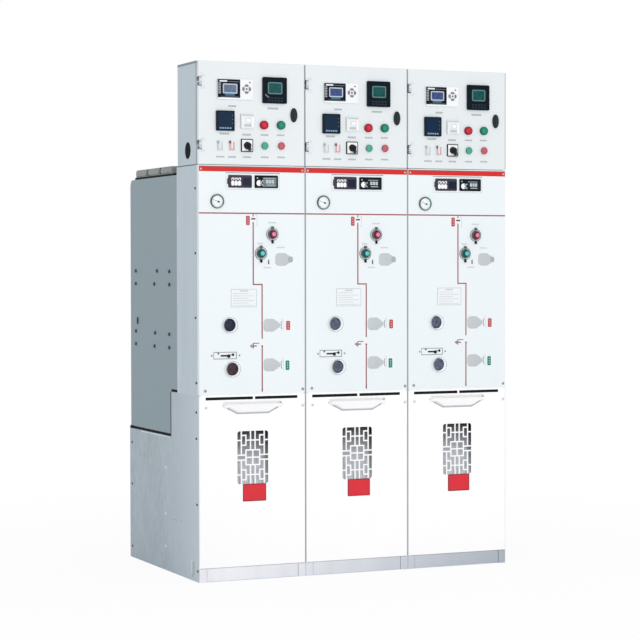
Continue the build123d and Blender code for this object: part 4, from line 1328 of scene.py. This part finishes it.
@dataclass
class RowEnd:
    """Screws, studs, seams and duct ribs on one end of the row; places count back from the fronts.

    Args:
        side: left or right.
    """

    side: Side
    dark_screws: tuple[Pair, ...] = (
        (31, 1426), (30, 1192), (30, 958), (25, 722), (26, 616), (26, 520), (21, 281), (14, 40), (745, 453),
        (745, 290), (745, 44),
    )
    small_dots: tuple[Pair, ...] = ((263, 201), (186, 203))
    pressed_studs: tuple[Pair, ...] = ((357, 388), (357, 214), (357, 91))
    lug_groups: tuple[Triple, ...] = ((219, 1300, 1326), (219, 1011, 1048), (211, 737, 767))
    lugs: int = 4
    tank_studs: tuple[Pair, ...] = (
        (705, 1127), (457, 1127), (320, 1125), (705, 1077), (489, 1077), (320, 1076),
        (705, 892), (481, 891), (322, 890), (706, 842), (487, 840), (322, 840),
    )
    tank_mark: Rect = Rect(680, 688, 920, 946)
    tank_inset: float = 5
    proud: float = 0.15
    foot_slit: Rect = Rect(62.5, 66.5, 12, 70)
    pale_flange_and_highlight: tuple[Rect, Rect] = (Rect(68, 80, 24, 72), Rect(310, 640, 503, 506.5))
    roof_dark_line: Rect = Rect(14, 212, 1876, 1884.2)
    joint: Rect = Rect(19.5, 224, 1509.2, 1513)
    step_seal: Rect = Rect(291, 300, 512, 676)
    seal_end: Rect = Rect(745, 769.6, 508.4, 518.4)
    rib: Rect = Rect(312, 434, 1494, 1515)
    rib_pitch: float = 143
    ribs: int = 3
    rib_reach: float = 4
    groove_start: float = 439

    def __post_init__(self) -> None:
        """Find the end's name, and which way it counts back."""
        self.name = self.side.name.lower()
        self.way = -1 if self.side is Side.LEFT else 1

    def face(self, first: str, last: str) -> Matrix:
        """Face of the end where the row's first and last pieces of a kind end."""
        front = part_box("mechanism_cover_1")[0].y
        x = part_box(first)[0].x if self.side is Side.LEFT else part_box(last)[1].x
        return self.side.at(x, front, 0)

    def area(self, depths: Rect) -> Rect:
        """Rectangle on the face, from one whose sides are depths behind the fronts."""
        return Rect(*sorted((self.way * depths.left, self.way * depths.right)), depths.low, depths.high)

    def dots(self, shape: Shape, places: Iterable[Pair], radius: float, stretch: float) -> Shape:
        """Add flat oval dots."""
        for depth, height in places:
            shape.knob((self.way * depth, height), radius, -0.3, self.proud, 0.1, stretch)
        return shape

    def build_trim(self) -> None:
        """Build the screws, studs and seams of the end, and a pale line under the tank seal that paints a
        highlight.
        """
        face = self.face("cable_box_1", f"cable_box_{MODULE_COUNT}")
        shape = self.dots(Shape("side_screw"), self.dark_screws, 8.5, 0.56)
        self.dots(shape, self.small_dots, 3.4, 0.6).slab(self.area(self.foot_slit), -0.3, self.proud)
        shape.make(f"end_screws_{self.name}", face)
        shape = self.dots(Shape("pale_stud_and_highlight"), self.pressed_studs, 8, 0.7)
        self.dots(shape, [(depth, low + (high - low) * lug / (self.lugs - 1))
                          for depth, low, high in self.lug_groups for lug in range(self.lugs)], 4, 0.7)
        # pale flange beside the foot slit, and a pale line under the tank seal that paints a highlight
        shape.plates(0, (("pale_stud_and_highlight", self.area(plate), -0.3, self.proud) for plate in self.pale_flange_and_highlight))
        shape.make(f"end_studs_{self.name}", face)
        # dark strip along the top of the side, just under the roof
        shape = Shape("roof_dark_line").plates(0, (
            ("roof_dark_line", self.area(self.roof_dark_line), -0.3, self.proud),
            ("mid_trim", self.area(self.joint), -0.3, self.proud),
            ("seal_edge", self.area(self.step_seal), -0.3, self.proud),
            ("seal_rubber", self.area(self.seal_end), -12, -0.3),
        ))
        shape.make(f"end_seams_{self.name}", face)
        shape = Shape("tank_stud")
        for depth, height in self.tank_studs:
            shape.knob((self.way * depth, height), 6.6, -self.tank_inset - 0.1, -0.4, 1.2)
        shape.slab(self.area(self.tank_mark), -self.tank_inset - 0.1, -0.6, 2, 0.4)
        shape.make(f"tank_studs_{self.name}", face)

    def build_ribs(self) -> None:
        """Build the ribs on the end of the busbar duct, and dark plates in the grooves between them that
        paint the grooves' shade.
        """
        shape = Shape("duct_resin")
        left, right, low, high = self.rib
        for shift in (rib * self.rib_pitch for rib in range(self.ribs)):
            area = self.area(Rect(left + shift, right + shift, low, high))
            shape.use("duct_resin").slab(area, -0.2, self.rib_reach, 7, 2.5).use("duct_groove_shade")
            if shift < (self.ribs - 1) * self.rib_pitch:
                # painted shade: a dark plate in the groove between two ribs
                shape.slab(Rect.about((self.way * (self.groove_start + shift), 1504.5), 14, 23), -1, 2)
        shape.make(f"duct_ribs_{self.name}", self.face("busbar_duct", "busbar_duct"))


@dataclass
class TankBacks:
    """Plain weld seams on the backs of the gas tanks."""

    bead: float = 5
    margin: float = 14
    top_margin: float = 34

    def build(self) -> None:
        """Build the weld seams of each tank."""
        for number in range(1, MODULE_COUNT + 1):
            low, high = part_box(f"gas_tank_{number}")
            width, height = (high.x - low.x) / MM, (high.z - low.z) / MM
            shape = Shape("weld_bead")
            for u in (self.margin, width - self.margin):
                shape.slab(Rect.about((u, height / 2 + 80), self.bead, height - 260), -0.8, -0.1, 2.4)
            for v in (self.margin, height - self.top_margin):
                shape.slab(Rect.about((width / 2, v), width - 40, self.bead), -0.8, -0.1, 2.4)
            shape.make(f"tank_back_welds_{number}", Side.BACK.at(high.x, high.y, low.z))


@dataclass
class Studio:
    """Camera, world, floor and key light."""

    eye: Triple = (-3.265, -7.390, 1.145)
    yaw: float = 23.92
    pitch: float = -1.49
    roll: float = 0.084
    lens: float = 116.94
    sensor: float = 36
    sky: float = 0.80
    floor_radius: float = 40
    floor_drop: float = 0.0006
    floor_colour: tuple[float, ...] = (0.86, 0.86, 0.87, 1)
    shadow_reach: Pair = (0.7, 3)
    shadow_light: float = 0.93
    key_place: Triple = (0.8, -6.2, 1.6)
    key_target: Triple = (0, -0.3, 0.6)
    key_size: float = 3.2
    key_power: float = 90

    def build(self) -> None:
        """Set up the view, the light and the floor."""
        bpy.context.scene.view_settings.view_transform = "Standard"
        self.place_camera()
        self.light_world()
        self.lay_floor()
        self.hang_key()

    @staticmethod
    def put(name: str, data: bpy.types.ID, place: Matrix) -> bpy.types.Object:
        """Put an object of the studio at a place."""
        thing = bpy.data.objects.new(name, data)
        thing.matrix_world = place
        bpy.context.scene.collection.objects.link(thing)
        return thing

    def place_camera(self) -> None:
        """Put the camera at the photograph's viewing angle."""
        yaw, pitch = math.radians(self.yaw), math.radians(self.pitch)
        ahead = Vector((math.sin(yaw) * math.cos(pitch), math.cos(yaw) * math.cos(pitch), math.sin(pitch)))
        data = bpy.data.cameras.new("camera")
        data.lens, data.sensor_width = self.lens, self.sensor
        turn = ahead.to_track_quat("-Z", "Y").to_matrix() @ Matrix.Rotation(math.radians(-self.roll), 3, "Z")
        bpy.context.scene.camera = self.put("camera", data, Matrix.Translation(self.eye) @ turn.to_4x4())

    def light_world(self) -> None:
        """Light evenly from all round; straight views and reflections see white."""
        world = bpy.data.worlds.new("studio")
        bpy.context.scene.world = world
        tree = Tree(world)
        rays = tree.nodes.new("ShaderNodeLightPath").outputs
        direct = {0: rays["Is Camera Ray"], 1: rays["Is Glossy Ray"]}
        straight = tree.add("Math", direct, operation="MAXIMUM")
        seen = tree.add("Math", {0: straight, 1: rays["Is Transmission Ray"]}, operation="MAXIMUM")
        level = tree.add("MapRange", {"Value": seen, "To Min": self.sky, "To Max": 1})
        tree.feed(tree.nodes["Background"], {"Color": (1, 1, 1, 1), "Strength": level})

    def lay_floor(self) -> None:
        """Pale floor that keeps the soft shadow near the row and fades to white away from it."""
        disc = bmesh.new()
        bmesh.ops.create_circle(disc, cap_ends=True, radius=self.floor_radius, segments=96,
                                matrix=Matrix.Translation((0, 0, -self.floor_drop)))
        data = bpy.data.meshes.new("floor")
        disc.to_mesh(data)
        disc.free()
        data.materials.append(self.floor_paint())
        self.put("floor", data, Matrix.Identity(4))

    def floor_paint(self) -> bpy.types.Material:
        """Floor material: diffuse, and brightened to white where it is seen directly."""
        material = bpy.data.materials.new("floor_pale")
        tree = Tree(material)
        tree.nodes.remove(tree.nodes["Principled BSDF"])
        matt = tree.add("BsdfDiffuse", {"Color": self.floor_colour})
        white = tree.add("Emission", {"Color": (1, 1, 1, 1)})
        reach = tree.add("VectorMath", {0: tree.add("TexCoord", {}, "Object")}, "Value", operation="LENGTH")
        near, far = self.shadow_reach
        fade = tree.add("MapRange", {"Value": reach, "From Min": near, "From Max": far,
                                     "To Min": self.shadow_light, "To Max": 1})
        seen = tree.add("LightPath", {}, "Is Camera Ray")
        share = tree.add("Math", {0: fade, 1: seen}, operation="MULTIPLY")
        blend = tree.add("MixShader", {0: share, 1: matt, 2: white})
        tree.feed(tree.nodes["Material Output"], {"Surface": blend})
        return material

    def hang_key(self) -> None:
        """Hang the large soft lamp in front of the row."""
        data = bpy.data.lights.new("key", "AREA")
        data.shape, data.size, data.energy = "SQUARE", self.key_size, self.key_power
        aim = Vector(self.key_target) - Vector(self.key_place)
        turn = aim.to_track_quat("-Z", "Y").to_matrix().to_4x4()
        self.put("key", data, Matrix.Translation(self.key_place) @ turn)


def main() -> None:
    """Build the studio, paint the frame's pieces and dress every module."""
    logging.basicConfig(level=logging.INFO, format="%(message)s")
    Studio().build()
    Housings().build()
    for number in range(1, MODULE_COUNT + 1):
        for part in (DoorDevices, DoorControls, DoorHinges, CoverInstruments, MimicDiagram, PushButtons,
                     CoverTrim, CableDoorTrim):
            part(number).build()
    RowJoints().build()
    ends = (RowEnd(Side.LEFT), RowEnd(Side.RIGHT))
    for end in ends:
        end.build_trim()
    TankBacks().build()
    for end in ends:
        end.build_ribs()


if __name__ == "__main__":
    main()
